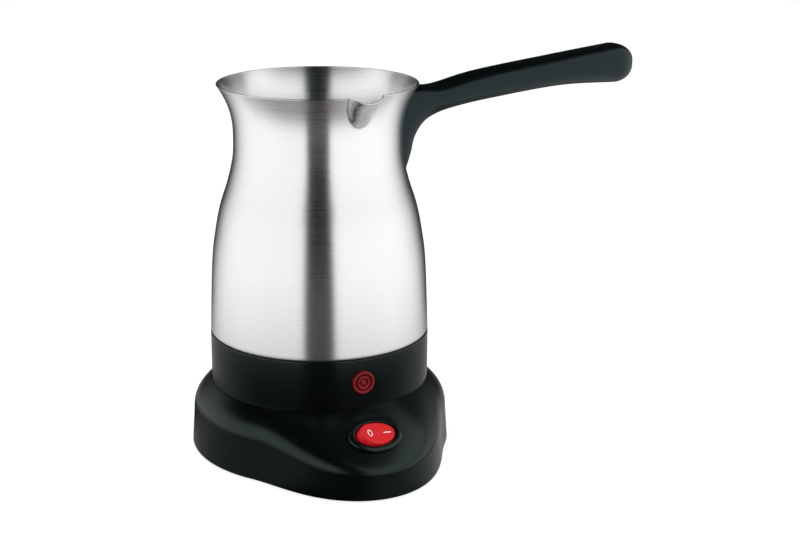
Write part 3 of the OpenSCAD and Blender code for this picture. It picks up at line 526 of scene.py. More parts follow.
class POT_OT_collar(bpy.types.Operator):
    """Makes the black collar under the steel and the gasket between them"""
    bl_idname = "coffeepot.collar"
    bl_label = "Collar and gasket"

    def execute(self, context):
        s, f = context.scene.pot_sizes, context.scene.pot_finishes
        r, foot, top, turn = s.collar_r, s.collar_foot, s.collar_top, s.collar_round
        wall = 2.1 * MM
        cover_r, cover_top = r - turn - 1.1 * MM, foot + 2.5 * MM
        line = np.vstack([
            [[r - wall, top - 0.4 * MM], [r - wall, cover_top + 1.5 * MM],
             [cover_r - 2 * MM, cover_top + 1.5 * MM], [cover_r - 2 * MM, cover_top],
             [cover_r + 0.3 * MM, cover_top], [cover_r + 0.3 * MM, foot + 0.3 * MM],
             [cover_r + 0.6 * MM, foot]],
            arc((r - turn, foot + turn), turn, -90, 0, 14),
            fine([[r, foot + turn + 0.4 * MM], [r, top - 0.6 * MM]], 2 * MM),
            arc((r - 0.5 * MM, top - 0.5 * MM), 0.5 * MM, 0, 90, 6),
            [[r - wall + 0.4 * MM, top]]])
        obj = turned("pot_collar_skin", line, 256)
        finish = moulded_plastic("collar_plastic_satin", f.collar, f.collar_rough,
                                 grain=1800.0, depth=0.02, gloss=0.42, tint=(0.76, 1.0, 0.96))
        dress(obj, finish, "pot", ["pot_collar"])
        seal_r = r - 0.5 * MM
        seal = np.vstack([arc((seal_r - 0.25 * MM, top + 0.25 * MM), 0.25 * MM, -90, 90, 7),
                          [[r - wall - 0.2 * MM, top + 0.5 * MM], [r - wall - 0.2 * MM, top]]])
        ring = turned("pot_seal_skin", seal, 256)
        dress(ring, soft_rubber("seal_rubber_black", (0.02, 0.02, 0.02), 0.6), "pot",
              ["pot_seal"])
        return {"FINISHED"}


# distance from the lens' middle and depth behind its face, in millimetres
LENS_RINGS = np.array([[0.02, 0.45], [0.5, 0.42], [0.95, 0.5], [1.25, 0.85], [1.6, 0.95],
                       [1.95, 0.85], [2.2, 0.35], [2.55, 0.18], [2.95, 0.3], [3.2, 0.85],
                       [3.5, 0.98], [3.8, 0.85], [4.05, 0.22], [4.5, 0.0]])
# distance from the middle and lightness, painted onto the red: the grooves between the rings are
# painted nearly black as painted shade
LENS_PAINTED_SHADE = np.array([[0, 1.0], [0.7, 0.9], [1.1, 0.5], [1.4, 0.2], [1.9, 0.2], [2.2, 0.85],
                       [2.8, 0.8], [3.05, 0.4], [3.3, 0.08], [3.6, 0.08], [3.85, 0.6],
                       [4.8, 0.75], [5.2, 0.3]])


class POT_OT_lens(bpy.types.Operator):
    """Makes the red indicator lens with its raised rings"""
    bl_idname = "coffeepot.lens"
    bl_label = "Indicator lens"

    def execute(self, context):
        s, f = context.scene.pot_sizes, context.scene.pot_finishes
        r, face = s.lens_r, s.collar_r + 1.5 * MM
        rim = 0.55 * MM
        profile = np.vstack([spline(LENS_RINGS * MM, 4), arc((r - rim, rim), rim, -90, 0, 7),
                             [[r, 1.4 * MM], [r, 2.4 * MM], [r - 1 * MM, 2.6 * MM],
                              [r - 1 * MM, 5.5 * MM], [r - 2.5 * MM, 5.6 * MM],
                              [r - 2.5 * MM, 2.2 * MM], [0.02 * MM, 2.0 * MM]]])
        a = around(96)
        x, z = profile[:, :1] * np.cos(a), profile[:, :1] * np.sin(a)
        grid = np.stack([x, -face + profile[:, 1:] + 0 * a, s.lens_z + z], -1)
        obj = make_mesh("indicator_lens_skin", grid, capped=True)
        spots = np.zeros(len(obj.data.vertices) * 3)
        obj.data.vertices.foreach_get("co", spots)
        away = np.hypot(spots[0::3], spots[2::3] - s.lens_z) / MM
        # the ring attribute darkens the red by distance: painted shade in the grooves between the
        # rings
        point_tones(obj.data, "ring", np.interp(away, *LENS_PAINTED_SHADE.T)[:, None])
        dress(obj, clear_red("lens_red_painted_shade", f.lens, 0.22, tones="ring"), "pot",
              ["indicator_lens"], math.radians(60))
        return {"FINISHED"}


# each row is [top r, top z, bottom r, bottom z, half width] in millimetres, from the tip of
# the root up the pot's wall and then along the grip; radii count from the pot's wall and
# heights from the rim
GRIP_SHAPE = np.array([
    [-7, -44.3, 0.8, -44.6, 3.4], [-7, -40, 3.3, -40.4, 4.7], [-7, -33.5, 6.6, -33.9, 6],
    [-7, -25.5, 8.9, -26.4, 7.4], [-7, -15, 13, -20.8, 8.2], [2, -4.4, 18.3, -17.8, 8.6],
    [18.6, -4.3, 26.7, -15.3, 8.7], [41.8, 0.5, 44.9, -12.6, 8.9], [82.4, 5.5, 83, -8.9, 9.3],
    [113.7, 9.1, 113.7, -9.4, 9.6]])
GRIP_END_TURNS = np.radians([8, 16, 24, 32, 40, 48, 55, 62, 68, 74, 79, 83, 86, 88.5])
GRIP_POWER = 2.7
# (radius, height) in millimetres of the screw's recess, whose middle is at RECESS_X
RECESS_SHAPE = np.array([[0.02, 151.7], [3.1, 151.7], [3.3, 151.5], [3.3, 139.0], [0.02, 139.0]])
RECESS_X = 53.5 * MM


class POT_OT_handle(bpy.types.Operator):
    """Makes the handle, whose root follows the pot's wall, with the recess for its screw"""
    bl_idname = "coffeepot.handle"
    bl_label = "Handle"

    def execute(self, context):
        s, f = context.scene.pot_sizes, context.scene.pot_finishes
        q = spline(GRIP_SHAPE, 12)
        q = q * [MM, MM, MM, MM, s.grip_half / GRIP_SHAPE[-1, 4]]
        top, low = (np.stack([wall_at(s, s.rim_z + q[:, k + 1]) + q[:, k],
                              s.rim_z + q[:, k + 1]], 1) for k in (0, 2))
        width = q[:, 4]
        # rounded end: half an ellipse in side view and in plan
        middle, half_h = (top[-1] + low[-1]) / 2, (top[-1, 1] - low[-1, 1]) / 2
        a = GRIP_END_TURNS
        reach = middle[0] + s.grip_end * np.sin(a)
        top = np.vstack([top, np.stack([reach, middle[1] + half_h * np.cos(a)], 1)])
        low = np.vstack([low, np.stack([reach, middle[1] - half_h * np.cos(a)], 1)])
        width = np.concatenate([width, width[-1] * np.cos(a)])
        # section: a rounded oval whose sine and cosine are bent by the power 2 / GRIP_POWER
        turn = around(72)
        side, up = (np.sign(v) * np.abs(v) ** (2 / GRIP_POWER)
                    for v in (np.cos(turn), np.sin(turn)))
        mid, half = ((top + low) / 2)[:, None, :], ((top - low) / 2)[:, None, :]
        x, z = np.moveaxis(mid + half * up[..., None], -1, 0)
        y = width[:, None] * side
        # points inside the pot are moved out to just off its wall
        wall = wall_at(s, z, above=True) + 0.06 * MM
        push = np.maximum(1.0, wall / np.maximum(np.hypot(x, y), 1e-6))
        obj = make_mesh("handle_skin", np.stack([x * push, y * push, z], -1), capped=True)
        # recess of the screw, sunk into the underside
        hole, ring = RECESS_SHAPE * MM, around(48)
        cut = np.stack([RECESS_X + hole[:, :1] * np.cos(ring), hole[:, :1] * np.sin(ring),
                        hole[:, 1:] + 0 * ring], -1)
        tool = make_mesh("screw_recess_tool", cut, capped=True)
        sink = obj.modifiers.new("screw recess", "BOOLEAN")
        sink.operation, sink.solver, sink.object = "DIFFERENCE", "EXACT", tool
        context.view_layer.update()
        shaped = bpy.data.meshes.new_from_object(
            obj.evaluated_get(context.evaluated_depsgraph_get()))
        obj.modifiers.clear()
        obj.data = shaped
        bpy.data.objects.remove(tool)
        finish = moulded_plastic("handle_plastic_satin", f.handle, f.handle_rough,
                                 grain=1500.0, depth=0.05, gloss=0.38, tint=(0.66, 0.95, 1.0))
        dress(obj, finish, "pot", ["handle"], math.radians(40))
        return {"FINISHED"}


# ---- the base

# the shoulder's slope on the round part, and how much lower the well's rim is at the sides
ROUND_SLOPE, SIDE_DROP = 0.75, 1.4 * MM
# how much lower the wall ends in front, and how far two meeting slopes are rounded
FRONT_WALL_DROP, MEET_ROUND = 4 * MM, 2 * MM
# the lobe's slope turns into the round part's between these angles from the front
BLEND_START, BLEND_END = math.radians(16), math.radians(62)
# shares by which the shoulder's curve is drawn to the corner of wall and slope
ROUND_PULL, LOBE_PULL, TOP_PULL = 0.65, 0.75, 0.85
# the switch's land: how far it reaches past the bezel, how softly it ends, how deep it acts
LAND_EDGE, LAND_FADE, LAND_ZONE = 1.2 * MM, 0.25, 6 * MM
# the opening for the cord's gland, low in the rear wall
GLAND_Z, GLAND_R, GLAND_FROM_Y, GLAND_FROM_R = 11 * MM, 6.1 * MM, 40 * MM, 54 * MM


def lobe(s, front):
    """1 at the front of the lobe and 0 from its half angle on, as a raised cosine."""
    f = np.abs(front)
    return np.where(f < s.lobe_half, (1 + np.cos(np.pi * f / s.lobe_half)) / 2, 0.0)


def slope_height(s, y):
    """Height of the sloping top's plane, y in front of the pot's axis."""
    return (s.switch_z + s.land_depth / math.cos(s.switch_slope)
            - (y - s.switch_y) * math.tan(s.switch_slope))


def lower(a, b):
    """The lower of two heights, rounded over where they meet."""
    h = np.clip(0.5 + (b - a) / (2 * MEET_ROUND), 0, 1)
    return lerp(b, a, h) - MEET_ROUND * h * (1 - h)


def shoulder(s, front, t):
    """(radius, height) of the housing's outside: t 0 where the wall ends and 1 at the well.
    A cubic curve from the wall's top, up along the wall, over to the rim's own slope."""
    part = smooth((BLEND_END - np.abs(front)) / (BLEND_END - BLEND_START))
    slope = lerp(ROUND_SLOPE, math.tan(s.switch_slope) * np.cos(front), part)
    top_r = s.well_r - 0.5 * MM
    plane = slope_height(s, s.well_r * np.cos(front))
    top_z = lerp(s.rim_z - SIDE_DROP, lower(s.rim_z, plane), part) + 0.5 * MM * slope
    turn_z = s.shoulder_z - FRONT_WALL_DROP * part
    turn_r = wall_radius(s, front, turn_z)
    corner_z = top_z - (turn_r - top_r) * slope
    u = 1 - t
    shares = u ** 3, 3 * u * u * t, 3 * u * t * t, t ** 3
    radii = turn_r, turn_r, lerp(top_r, turn_r, TOP_PULL), top_r
    heights = (turn_z, lerp(turn_z, corner_z, lerp(ROUND_PULL, LOBE_PULL, part)),
               lerp(top_z, corner_z, TOP_PULL), top_z)
    return tuple(sum(b * c for b, c in zip(shares, row)) for row in (radii, heights))


def wall_radius(s, front, height):
    """Radius of the base's wall: the round part, plus the lobe, less the draft."""
    return s.base_r + s.lobe_reach * lobe(s, front) - s.draft * height


def seat_matrix(s):
    """Places a point on the switch's seat: x along the bezel, y up the slope, z out of it."""
    return (Matrix.Translation((0, -s.switch_y, s.switch_z))
            @ Matrix.Rotation(s.switch_slope, 4, "X"))


def placed(points, matrix):
    """The points moved and turned by a matrix."""
    m = np.array(matrix)
    return points @ m[:3, :3].T + m[:3, 3]


class BASE_OT_housing(bpy.types.Operator):
    """Makes the housing of the base with its lobe, well, switch land and openings"""
    bl_idname = "coffeepot.housing"
    bl_label = "Base housing"

    def execute(self, context):
        s, f = context.scene.base_sizes, context.scene.pot_finishes
        front = crowded(420, 0.66)
        rows = []

        def add_row(radius, height):
            """Adds a row; a plain number holds all the way round."""
            rows.append((radius + 0 * front, height + 0 * front))

        # lower wall with a small rounding at the foot, as (inset, height) in millimetres
        for inset, up in np.array([[-1, 0], [-0.55, 0.02], [-0.2, 0.2], [0, 0.6], [0, 1.4]]) * MM:
            z = s.foot_z + up
            add_row(wall_radius(s, front, z) + inset, z)
        turn_z = shoulder(s, front, 0.0)[1]
        for k in range(1, 10):
            z = lerp(s.foot_z + 1.4 * MM, turn_z, k / 10)
            add_row(wall_radius(s, front, z), z)
        for t in np.linspace(0, 1, 78):
            add_row(*shoulder(s, front, t))
        # sharp rim, then down into the well and in to the connector's tower
        top_z, well_r, floor_z, bend = rows[-1][1], s.well_r, s.well_floor, 0.6 * MM
        add_row(well_r - 0.5 * MM, top_z - 0.6 * MM)
        add_row(well_r - 0.3 * MM, top_z - 1.2 * MM)
        for k in (0.35, 0.7):
            add_row(well_r, lerp(top_z - 1.4 * MM, floor_z + 0.5 * MM, k))
        for r, z in arc((well_r - bend, floor_z + bend), bend, 0, -90, 5):
            add_row(r, z)
        for r in np.linspace(well_r - 3 * MM, s.tower_r + 0.9 * MM, 12):
            add_row(r, floor_z)
        add_row(s.tower_r + 0.3 * MM, floor_z - 0.3 * MM)
        radius, height = (np.vstack(column) for column in zip(*rows))
        # the land: inside its oval nothing stands above the seat's plane
        seat = placed(round_z(radius, front, height), seat_matrix(s).inverted())
        x, y, z = np.moveaxis(seat, -1, 0)
        near = np.abs(z) < LAND_ZONE
        oval = np.hypot(x / (s.bezel_a + LAND_EDGE), y / (s.bezel_b + LAND_EDGE))
        level = lerp(z, np.minimum(z, 0.0), 1 - rise(oval, 1.0, LAND_FADE))
        seat[..., 2] = np.where(near, level, z)
        # openings for the switch and the cord's gland
        gone = (np.hypot(x / (s.bezel_a - 0.7 * MM), y / (s.bezel_b - 0.5 * MM)) < 1) & near
        grid = placed(seat, seat_matrix(s))
        x, y, z = np.moveaxis(grid, -1, 0)
        gone |= ((np.hypot(x, z - GLAND_Z) < GLAND_R) & (y > GLAND_FROM_Y)
                 & (np.hypot(x, y) > GLAND_FROM_R))
        obj = make_mesh("base_housing_skin", grid, gone=gone)
        wall = obj.modifiers.new("wall", "SOLIDIFY")
        wall.thickness, wall.offset, wall.use_even_offset = s.wall_t, -1.0, False
        finish = moulded_plastic("base_plastic_satin", f.base, f.base_rough,
                                 grain=1300.0, depth=0.05, gloss=0.42, tint=(0.72, 1.0, 0.97))
        dress(obj, finish, "base", ["base_housing"], math.radians(38))
        return {"FINISHED"}


class BASE_OT_switch_frame(bpy.types.Operator):
    """Makes the oval bezel and the body of the switch under it"""
    bl_idname = "coffeepot.switch_frame"
    bl_label = "Switch frame"

    def execute(self, context):
        s, f = context.scene.base_sizes, context.scene.pot_finishes
        a, b, h = s.bezel_a / MM, s.bezel_b / MM, s.bezel_h / MM
        in_a, in_b = s.rocker_a / MM + 0.55, s.rocker_b / MM + 0.55
        # surface over ovals: half length, half width and height on the seat, in millimetres
        rows = [[0.05, 0.05, -13.0], [in_a + 0.3, in_b + 0.3, -13.0],
                [in_a + 0.55, in_b + 0.55, -12.7], [in_a + 0.55, in_b + 0.55, 0.05],
                [a - 0.15, b - 0.15, 0.05], [a, b, 0.2], [a, b, 0.45]]
        # the outside is rounded over to the top, which is a narrow land round the opening
        for t in np.radians(np.arange(10, 91, 10)):
            inset = 1.7 * (1 - math.cos(t))
            rows.append([a - inset, b - inset, 0.45 + (h - 0.45) * math.sin(t)])
        rows += [[in_a + 0.35, in_b + 0.35, h - 0.02], [in_a + 0.12, in_b + 0.12, h - 0.1],
                 [in_a, in_b, h - 0.35],
                 [in_a, in_b, -11.2], [in_a - 0.3, in_b - 0.3, -11.5], [0.05, 0.05, -11.5]]
        rows, turn = np.array(rows) * MM, around(128)
        grid = np.stack([rows[:, :1] * np.cos(turn), rows[:, 1:2] * np.sin(turn),
                         rows[:, 2:] + 0 * turn], -1)
        obj = make_mesh("switch_frame_skin", placed(grid, seat_matrix(s)), capped=True)
        finish = moulded_plastic("bezel_plastic_gloss", shaded(f.base, 0.9), 0.24,
                                 grain=1600.0, depth=0.02, gloss=0.48, tint=(0.74, 1.0, 1.0))
        dress(obj, finish, "base", ["switch_frame"])
        return {"FINISHED"}


# the printed marks, in millimetres along and across the rocker: how deep their edge is sunk
# and how high they stand, the 0's middle and the half axes of its two outlines, and the
# dash's ends, half thickness, middle, offset and slant
MARK_SINK, MARK_LIFT = 0.02, 0.03
ZERO_X, ZERO_OUTER, ZERO_INNER = -3.5, (1.15, 1.75), (0.79, 1.39)
DASH_HALF = 0.22
DASH_FROM, DASH_TO, DASH_X, DASH_Y, DASH_SLANT = 3.1, 6.3, 4.7, 0.35, 0.1


class BASE_OT_rocker(bpy.types.Operator):
    """Makes the red rocker with its two ramps and its printed 0 and dash"""
    bl_idname = "coffeepot.rocker"
    bl_label = "Rocker and marks"

    def execute(self, context):
        s, f = context.scene.base_sizes, context.scene.pot_finishes
        a, b = s.rocker_a, s.rocker_b
        tilt = math.tan(s.rocker_tilt)
        apex, valley, edge = s.bezel_h + 0.4 * MM, 0.9 * MM, 0.5 * MM

        def ramp(x):
            """Height of the top over the pivot: two ramps that rise from a soft valley."""
            return apex + tilt * (np.sqrt(x * x + valley ** 2) - valley)

        turn = around(144)
        c, n = np.cos(turn), np.sin(turn)
        # the body is an ellipsoid about the pivot: x2/a2 + y2/b2 + z2/a2 = 1, and k is the
        # share of its outline at which the top meets it
        k = np.full_like(turn, 0.95)
        for _ in range(8):
            k = np.sqrt(1 - (ramp(a * c * k) / a) ** 2)
        rows = []
        for way_out in (0.02, 0.15, 0.3, 0.45, 0.6, 0.72, 0.82, 0.89):
            x, y = a * c * k * way_out, b * n * k * way_out
            rows.append(np.stack([x, y, ramp(x)], -1))
        top = ramp(a * c * k)
        for t in np.radians([0, 20, 40, 60, 78, 90]):
            inset = edge * (1 - math.sin(t))
            x, y = (a * k - inset) * c, (b * k - inset) * n
            rows.append(np.stack([x, y, ramp(x) - edge * (1 - math.cos(t))], -1))
        for level in np.linspace(0.12, 1.0, 12):
            z = lerp(top - edge, -5.4 * MM, level)
            w = np.sqrt(np.maximum(0.0, 1 - (z / a) ** 2))
            rows.append(np.stack([a * w * c, b * w * n, z], -1))
        place = (seat_matrix(s) @ Matrix.Translation((0, 0, 0.2 * MM))
                 @ Matrix.Rotation(s.rocker_tilt, 4, "Y"))
        obj = make_mesh("rocker_skin", placed(np.concatenate(rows, 0), place), capped=True)
        finish = clear_red("rocker_red_gloss", f.rocker, 0.3)
        dress(obj, finish, "rocker", ["rocker"], math.radians(50))

        def mark(name, one, other, **ends):
            """A printed mark between two lines (x, y): from below up to the first, over to
            the second and down again."""
            cols = [np.stack([x * MM, y * MM, ramp(x * MM) + up * MM], -1)
                    for (x, y), up in ((one, -MARK_SINK), (one, MARK_LIFT),
                                       (other, MARK_LIFT), (other, -MARK_SINK))]
            return make_mesh(name, placed(np.concatenate(cols, 1), place), **ends)

        # an upright ring on the raised half, and a bar along the pressed half
        ring = around(64).T
        zero = mark("mark_zero", *((ZERO_X + ra * np.cos(ring), rb * np.sin(ring))
                                   for ra, rb in (ZERO_OUTER, ZERO_INNER)), ring=True)
        x = np.linspace(DASH_FROM, DASH_TO, 9)[:, None]
        dash = mark("mark_dash", *((x, y - DASH_Y - DASH_SLANT * (x - DASH_X))
                                   for y in (-DASH_HALF, DASH_HALF)), capped=True)
        paint = moulded_plastic("mark_print", f.mark, 0.45, grain=2500.0, depth=0.05)
        for print_piece in (zero, dash):
            dress(print_piece, paint, "rocker")
        return {"FINISHED"}


# ---- pieces that keep their solid's own shape

class PARTS_OT_fittings(bpy.types.Operator):
    """Gives the carried-over fittings, contacts, screws and heater their finishes"""
    bl_idname = "coffeepot.fittings"
    bl_label = "Fittings and heater"

    def execute(self, context):
        for finish, names in (
                (moulded_plastic("plate_plastic_matte", (0.016, 0.018, 0.018), 0.5, 900.0, 0.12),
                 "base_plate collar_cover"),
                (moulded_plastic("connector_plastic_matte", (0.02, 0.02, 0.021), 0.42, 1200.0,
                                 0.08), "base_connector pot_connector"),
                (cast_metal("screw_zinc", (0.62, 0.63, 0.64), 0.3),
                 "base_screws cover_posts cover_screws connector_screws handle_screw"),
                (cast_metal("contact_brass_plain", (0.83, 0.62, 0.27), 0.28, 500.0, 0.08),
                 "connector_sockets connector_pins switch_terminals"),
                (cast_metal("plate_aluminium_cast", (0.76, 0.77, 0.78), 0.42, 900.0, 0.2),
                 "heat_plate thermostat thermal_fuse"),
                (cast_metal("element_steel_dull", (0.42, 0.42, 0.40), 0.45, 1100.0),
                 "heating_element element_pins fuse_clip lamp_clip handle_bracket"),
                (soft_rubber("feet_rubber_grey", (0.035, 0.035, 0.036), 0.8), "rubber_feet"),
                (soft_rubber("gland_rubber_black", (0.014, 0.014, 0.014), 0.62), "cord_gland"),
                (braided_sleeve("lead_sleeve_woven", (0.72, 0.68, 0.58)),
                 "switch_lead pot_leads"),
                (lamp_glass("lamp_glass_clear", (0.95, 0.72, 0.55)), "neon_lamp")):
            for name in names.split():
                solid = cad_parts[name]
                solid.data.materials.clear()
                solid.data.materials.append(finish)
        return {"FINISHED"}


# ---- studio

# the camera: the picture's width and the optical axis' place across it in pixels, the focal
# length in pixels, and the camera's place in metres, heading and downward pitch in degrees
PICTURE_WIDTH, AXIS_X, FOCAL = 800, 357, 1495.76
CAMERA_PLACE, CAMERA_HEADING, CAMERA_PITCH = (-0.2458, -0.6083, 0.2773), 23.52, 16.766
SENSOR_WIDTH = 36.0
# where the room's front is, as an angle from the part's front
CAMERA_SIDE = math.radians(-22)
ROOM_DARK, ROOM_BRIGHT = np.array([0.006, 0.012, 0.011]), np.array([1.09, 1.09, 1.09])
ROOM_REACH, ROOM_LIFT = 1.0, 0.0002
ROOM_FLOOR = np.array([0.05, 0.08, 0.10, 0.11, 0.12, 0.13, 0.15, 0.18, 0.19, 0.20, 0.21, 0.22,
                       0.23, 0.25, 0.28, 0.32, 0.36, 0.4, 0.5, ROOM_REACH])
# turn from the room's front in degrees, and brightness
ROOM_BEHIND = np.array([[96, 1], [110, 0.93], [126, 0.68], [140, 0.28], [152, 0.04], [180, 0]])
# the canopy is a part of a ball about a point over the floor
CANOPY_REACH, CANOPY_Z, CANOPY_STRIP, CANOPY_FADE = 0.6, 0.165, 17.5, 5.5


def room_tones(front, up, reach):
    """Brightness of the room that mirrors see, by direction: front counts from the camera's
    side, up is the elevation in degrees and reach the distance on the floor in metres. It
    fades to dark overhead, in a strip towards the camera and behind. On the floor round the
    feet it is dim, dimmer on the left and in front, and past that it is brightest."""
    turn = np.degrees(np.abs(front))
    strip = rise(turn, 12.0, 5.0)
    behind = np.interp(turn + 5.0 * (front > 0), *ROOM_BEHIND.T)
    above = 1 - rise(up, 19.0, 27.0)
    right = 0.38 * rise(turn, 22.0, 25.0)
    left = 0.2 * rise(turn, 28.0, 30.0) * (1 - 0.9 * rise(turn, 85.0, 30.0))
    middle = 0.2 * rise(turn, 8.0, 20.0) * (1 - rise(turn, 50.0, 20.0))
    inner = np.maximum(np.where(front < 0, left, right), middle)
    outer = np.maximum(0.3 * rise(turn, 38.0, 70.0), 0.01)
    dim = lerp(inner, outer, rise(reach, 0.10, 0.03))
    tilt = lerp(1.0, 0.95, smooth(-front * 2.0))
    strip = np.maximum(strip, 0.09 * (up < 1) * (reach < 0.6))
    near = 1.0 + 0.24 * (1 - rise(reach, 0.24, 0.16)) * (1 - rise(turn, 70.0, 25.0))
    return lerp(dim, strip * behind * above * tilt * near, rise(reach, 0.185, 0.04))


def bare_tree(owner):
    """Node tree of a material or a world, emptied."""
    owner.use_nodes = True
    owner.node_tree.nodes.clear()
    return owner.node_tree


def ray_kind(tree, *kinds):
    """1 for rays of the named kinds and 0 for the others."""
    path = node(tree, "ShaderNodeLightPath")
    total = path.outputs[kinds[0]]
    for kind in kinds[1:]:
        total = node(tree, "ShaderNodeMath", {0: total, 1: path.outputs[kind]},
                     operation="ADD", use_clamp=True).outputs["Value"]
    return total


def mixed(tree, factor, plain, special):
    """The plain shader where the factor is 0 and the special one where it is 1."""
    return node(tree, "ShaderNodeMixShader", {0: factor, 1: plain, 2: special}).outputs["Shader"]


def mirror_card(name, front, r, z, value):
    """Surface of revolution that only mirrors see, from a value of 0 to 1 for each point: it
    isn't in the camera's view, gives no light and throws no shadow. Its tones are a point
    attribute of the mesh."""
    grid = round_z(r, front + CAMERA_SIDE, z)
    mesh = bpy.data.meshes.new(name)
    mesh.from_pydata(grid.reshape(-1, 3).tolist(), [], quads(*grid.shape[:2]).tolist())
    point_tones(mesh, "tone", lerp(ROOM_DARK, ROOM_BRIGHT, value.reshape(-1, 1)))
    finish = bpy.data.materials.new(name)
    tree = bare_tree(finish)
    tone = node(tree, "ShaderNodeAttribute", attribute_name="tone")
    glow = node(tree, "ShaderNodeEmission", {"Color": tone.outputs["Color"]}, Strength=1.0)
    node(tree, "ShaderNodeOutputMaterial", {"Surface": glow.outputs["Emission"]})
    mesh.materials.append(finish)
    obj = new_object(name, mesh)
    for kind in ("camera", "diffuse", "shadow", "transmission"):
        setattr(obj, "visible_" + kind, False)
    return obj


def mirror_room():
    """Floor disc and dome with the room's tones, and over the pot's front a white canopy in
    two halves. The inside of the flare mirrors both, and the base only the right one."""
    front = np.linspace(-np.pi, np.pi, 145)[None, :]
    climb = np.radians(np.arange(3, 91, 3))
    flat = 0 * ROOM_FLOOR
    r = np.concatenate([ROOM_FLOOR, ROOM_REACH * np.cos(climb)])[:, None]
    z = np.concatenate([flat, ROOM_REACH * np.sin(climb)])[:, None] + ROOM_LIFT
    up = np.concatenate([flat, np.degrees(climb)])[:, None]
    reach = np.concatenate([ROOM_FLOOR, 0 * climb + ROOM_REACH])[:, None]
    mirror_card("mirror_room", front, r, z, room_tones(front, up, reach))
    front = np.radians(np.linspace(0, 115, 47))[None, :]
    climb = np.radians(np.linspace(20, 53, 10))[:, None]
    strip = rise(np.degrees(np.abs(front)), CANOPY_STRIP, CANOPY_FADE) + 0 * climb
    for name, side in (("mirror_canopy_left", -1), ("mirror_canopy_right", 1)):
        canopy = mirror_card(name, side * front, CANOPY_REACH * np.cos(climb),
                             CANOPY_Z + CANOPY_REACH * np.sin(climb), strip)
        if side < 0:
            canopy.light_linking.receiver_collection = canopy_mirrors()


def aim(obj, ahead):
    """Turns a lamp or a camera so that it looks along a direction."""
    obj.rotation_euler = Vector(ahead).to_track_quat("-Z", "Y").to_euler()


def softbox(name, place, target, size, power):
    """Large square soft lamp that points at a target and isn't mirrored."""
    lamp = bpy.data.lights.new(name, "AREA")
    lamp.shape, lamp.size, lamp.size_y, lamp.energy = "RECTANGLE", size, size, power
    obj = new_object(name, lamp)
    obj.location = place
    aim(obj, Vector(target) - Vector(place))
    obj.visible_glossy = False


def white_surround(scene):
    """World that is white where it is seen, mirrored or looked at through glass, and a weaker
    fill light elsewhere."""
    scene.world = scene.world or bpy.data.worlds.new("studio")
    tree = bare_tree(scene.world)
    seen = ray_kind(tree, "Is Camera Ray", "Is Glossy Ray", "Is Transmission Ray")
    fill, white = (node(tree, "ShaderNodeBackground", Color=(1, 1, 1, 1),
                        Strength=strength).outputs["Background"] for strength in (0.55, 1.0))
    node(tree, "ShaderNodeOutputWorld", {"Surface": mixed(tree, seen, fill, white)})


def paper_floor():
    """Floor that is white to the camera, less the shadow that its diffuse part carries."""
    mesh = bpy.data.meshes.new("floor")
    reach = 4.0
    mesh.from_pydata([(-reach, -reach, 0), (reach, -reach, 0), (reach, reach, 0),
                      (-reach, reach, 0)], [], [(0, 1, 2, 3)])
    finish = bpy.data.materials.new("floor_paper")
    tree = bare_tree(finish)
    seen = ray_kind(tree, "Is Camera Ray", "Is Glossy Ray")
    glow = node(tree, "ShaderNodeEmission", Color=(1, 1, 1, 1), Strength=0.80)
    paper, plain = (node(tree, "ShaderNodeBsdfDiffuse", Color=(grey, grey, grey, 1))
                    for grey in (0.27, 0.8))
    both = node(tree, "ShaderNodeAddShader",
                {0: glow.outputs["Emission"], 1: paper.outputs["BSDF"]})
    node(tree, "ShaderNodeOutputMaterial",
         {"Surface": mixed(tree, seen, plain.outputs["BSDF"], both.outputs["Shader"])})
    mesh.materials.append(finish)
    floor = new_object("floor", mesh)


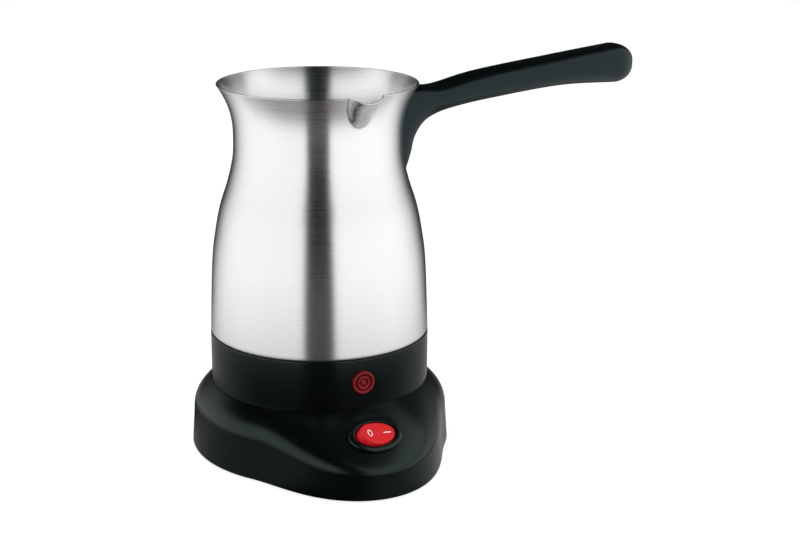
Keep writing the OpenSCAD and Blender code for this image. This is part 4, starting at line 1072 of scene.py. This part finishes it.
class STAGE_OT_studio(bpy.types.Operator):
    """Makes the pale floor, the white surround, the soft lamps, the mirror cards and the camera"""
    bl_idname = "coffeepot.studio"
    bl_label = "Studio"

    def execute(self, context):
        scene = context.scene
        scene.view_settings.view_transform = "Standard"
        white_surround(scene)
        paper_floor()
        softbox("softbox_left", (-1.1, -0.9, 1.0), (0, 0, 0.08), 1.2, 14.0)
        softbox("softbox_right", (1.3, -0.7, 0.9), (0, 0, 0.08), 1.2, 11.0)
        softbox("softbox_top", (0.0, 0.3, 1.6), (0, 0, 0.05), 1.6, 12.0)
        mirror_room()
        eye = bpy.data.cameras.new("camera")
        eye.sensor_width, eye.lens = SENSOR_WIDTH, FOCAL / PICTURE_WIDTH * SENSOR_WIDTH
        eye.shift_x = (PICTURE_WIDTH / 2 - AXIS_X) / PICTURE_WIDTH
        eye.clip_start, eye.clip_end = 0.01, 20
        camera = new_object("camera", eye)
        camera.location = CAMERA_PLACE
        heading, pitch = math.radians(CAMERA_HEADING), math.radians(CAMERA_PITCH)
        aim(camera, (math.sin(heading) * math.cos(pitch), math.cos(heading) * math.cos(pitch),
                     -math.sin(pitch)))
        scene.camera = camera
        return {"FINISHED"}


class COFFEEPOT_PT_panel(bpy.types.Panel):
    """Lists the pieces, their sizes and their finishes"""
    bl_idname = "COFFEEPOT_PT_panel"
    bl_label = "Coffee Pot"
    bl_space_type = "VIEW_3D"
    bl_region_type = "UI"
    bl_category = "Coffee Pot"

    def draw(self, context):
        for operator in OPERATORS:
            self.layout.operator(operator.bl_idname)
        for group in ("pot_sizes", "base_sizes", "pot_finishes"):
            values = getattr(context.scene, group)
            box = self.layout.box()
            for key in values.bl_rna.properties.keys():
                if key not in ("rna_type", "name"):
                    box.prop(values, key)


GROUPS = {"pot_sizes": PotSizes, "base_sizes": BaseSizes, "pot_finishes": Finishes}
OPERATORS = (STAGE_OT_studio, POT_OT_shell, POT_OT_collar, POT_OT_lens, POT_OT_handle,
             BASE_OT_housing, BASE_OT_switch_frame, BASE_OT_rocker, PARTS_OT_fittings)


def register():
    """Adds the operators, the panel and the sizes to Blender."""
    for cls in (*GROUPS.values(), *OPERATORS, COFFEEPOT_PT_panel):
        bpy.utils.register_class(cls)
    for name, group in GROUPS.items():
        setattr(bpy.types.Scene, name, bpy.props.PointerProperty(type=group))


def unregister():
    """Takes them out again."""
    for name in GROUPS:
        delattr(bpy.types.Scene, name)
    for cls in (COFFEEPOT_PT_panel, *OPERATORS[::-1], *GROUPS.values()):
        bpy.utils.unregister_class(cls)


def main():
    """Makes every piece and the studio."""
    register()
    bpy.ops.coffeepot.studio()
    bpy.ops.coffeepot.shell()
    bpy.ops.coffeepot.collar()
    bpy.ops.coffeepot.lens()
    bpy.ops.coffeepot.handle()
    bpy.ops.coffeepot.housing()
    bpy.ops.coffeepot.switch_frame()
    bpy.ops.coffeepot.rocker()
    bpy.ops.coffeepot.fittings()


if __name__ == "__main__":
    main()
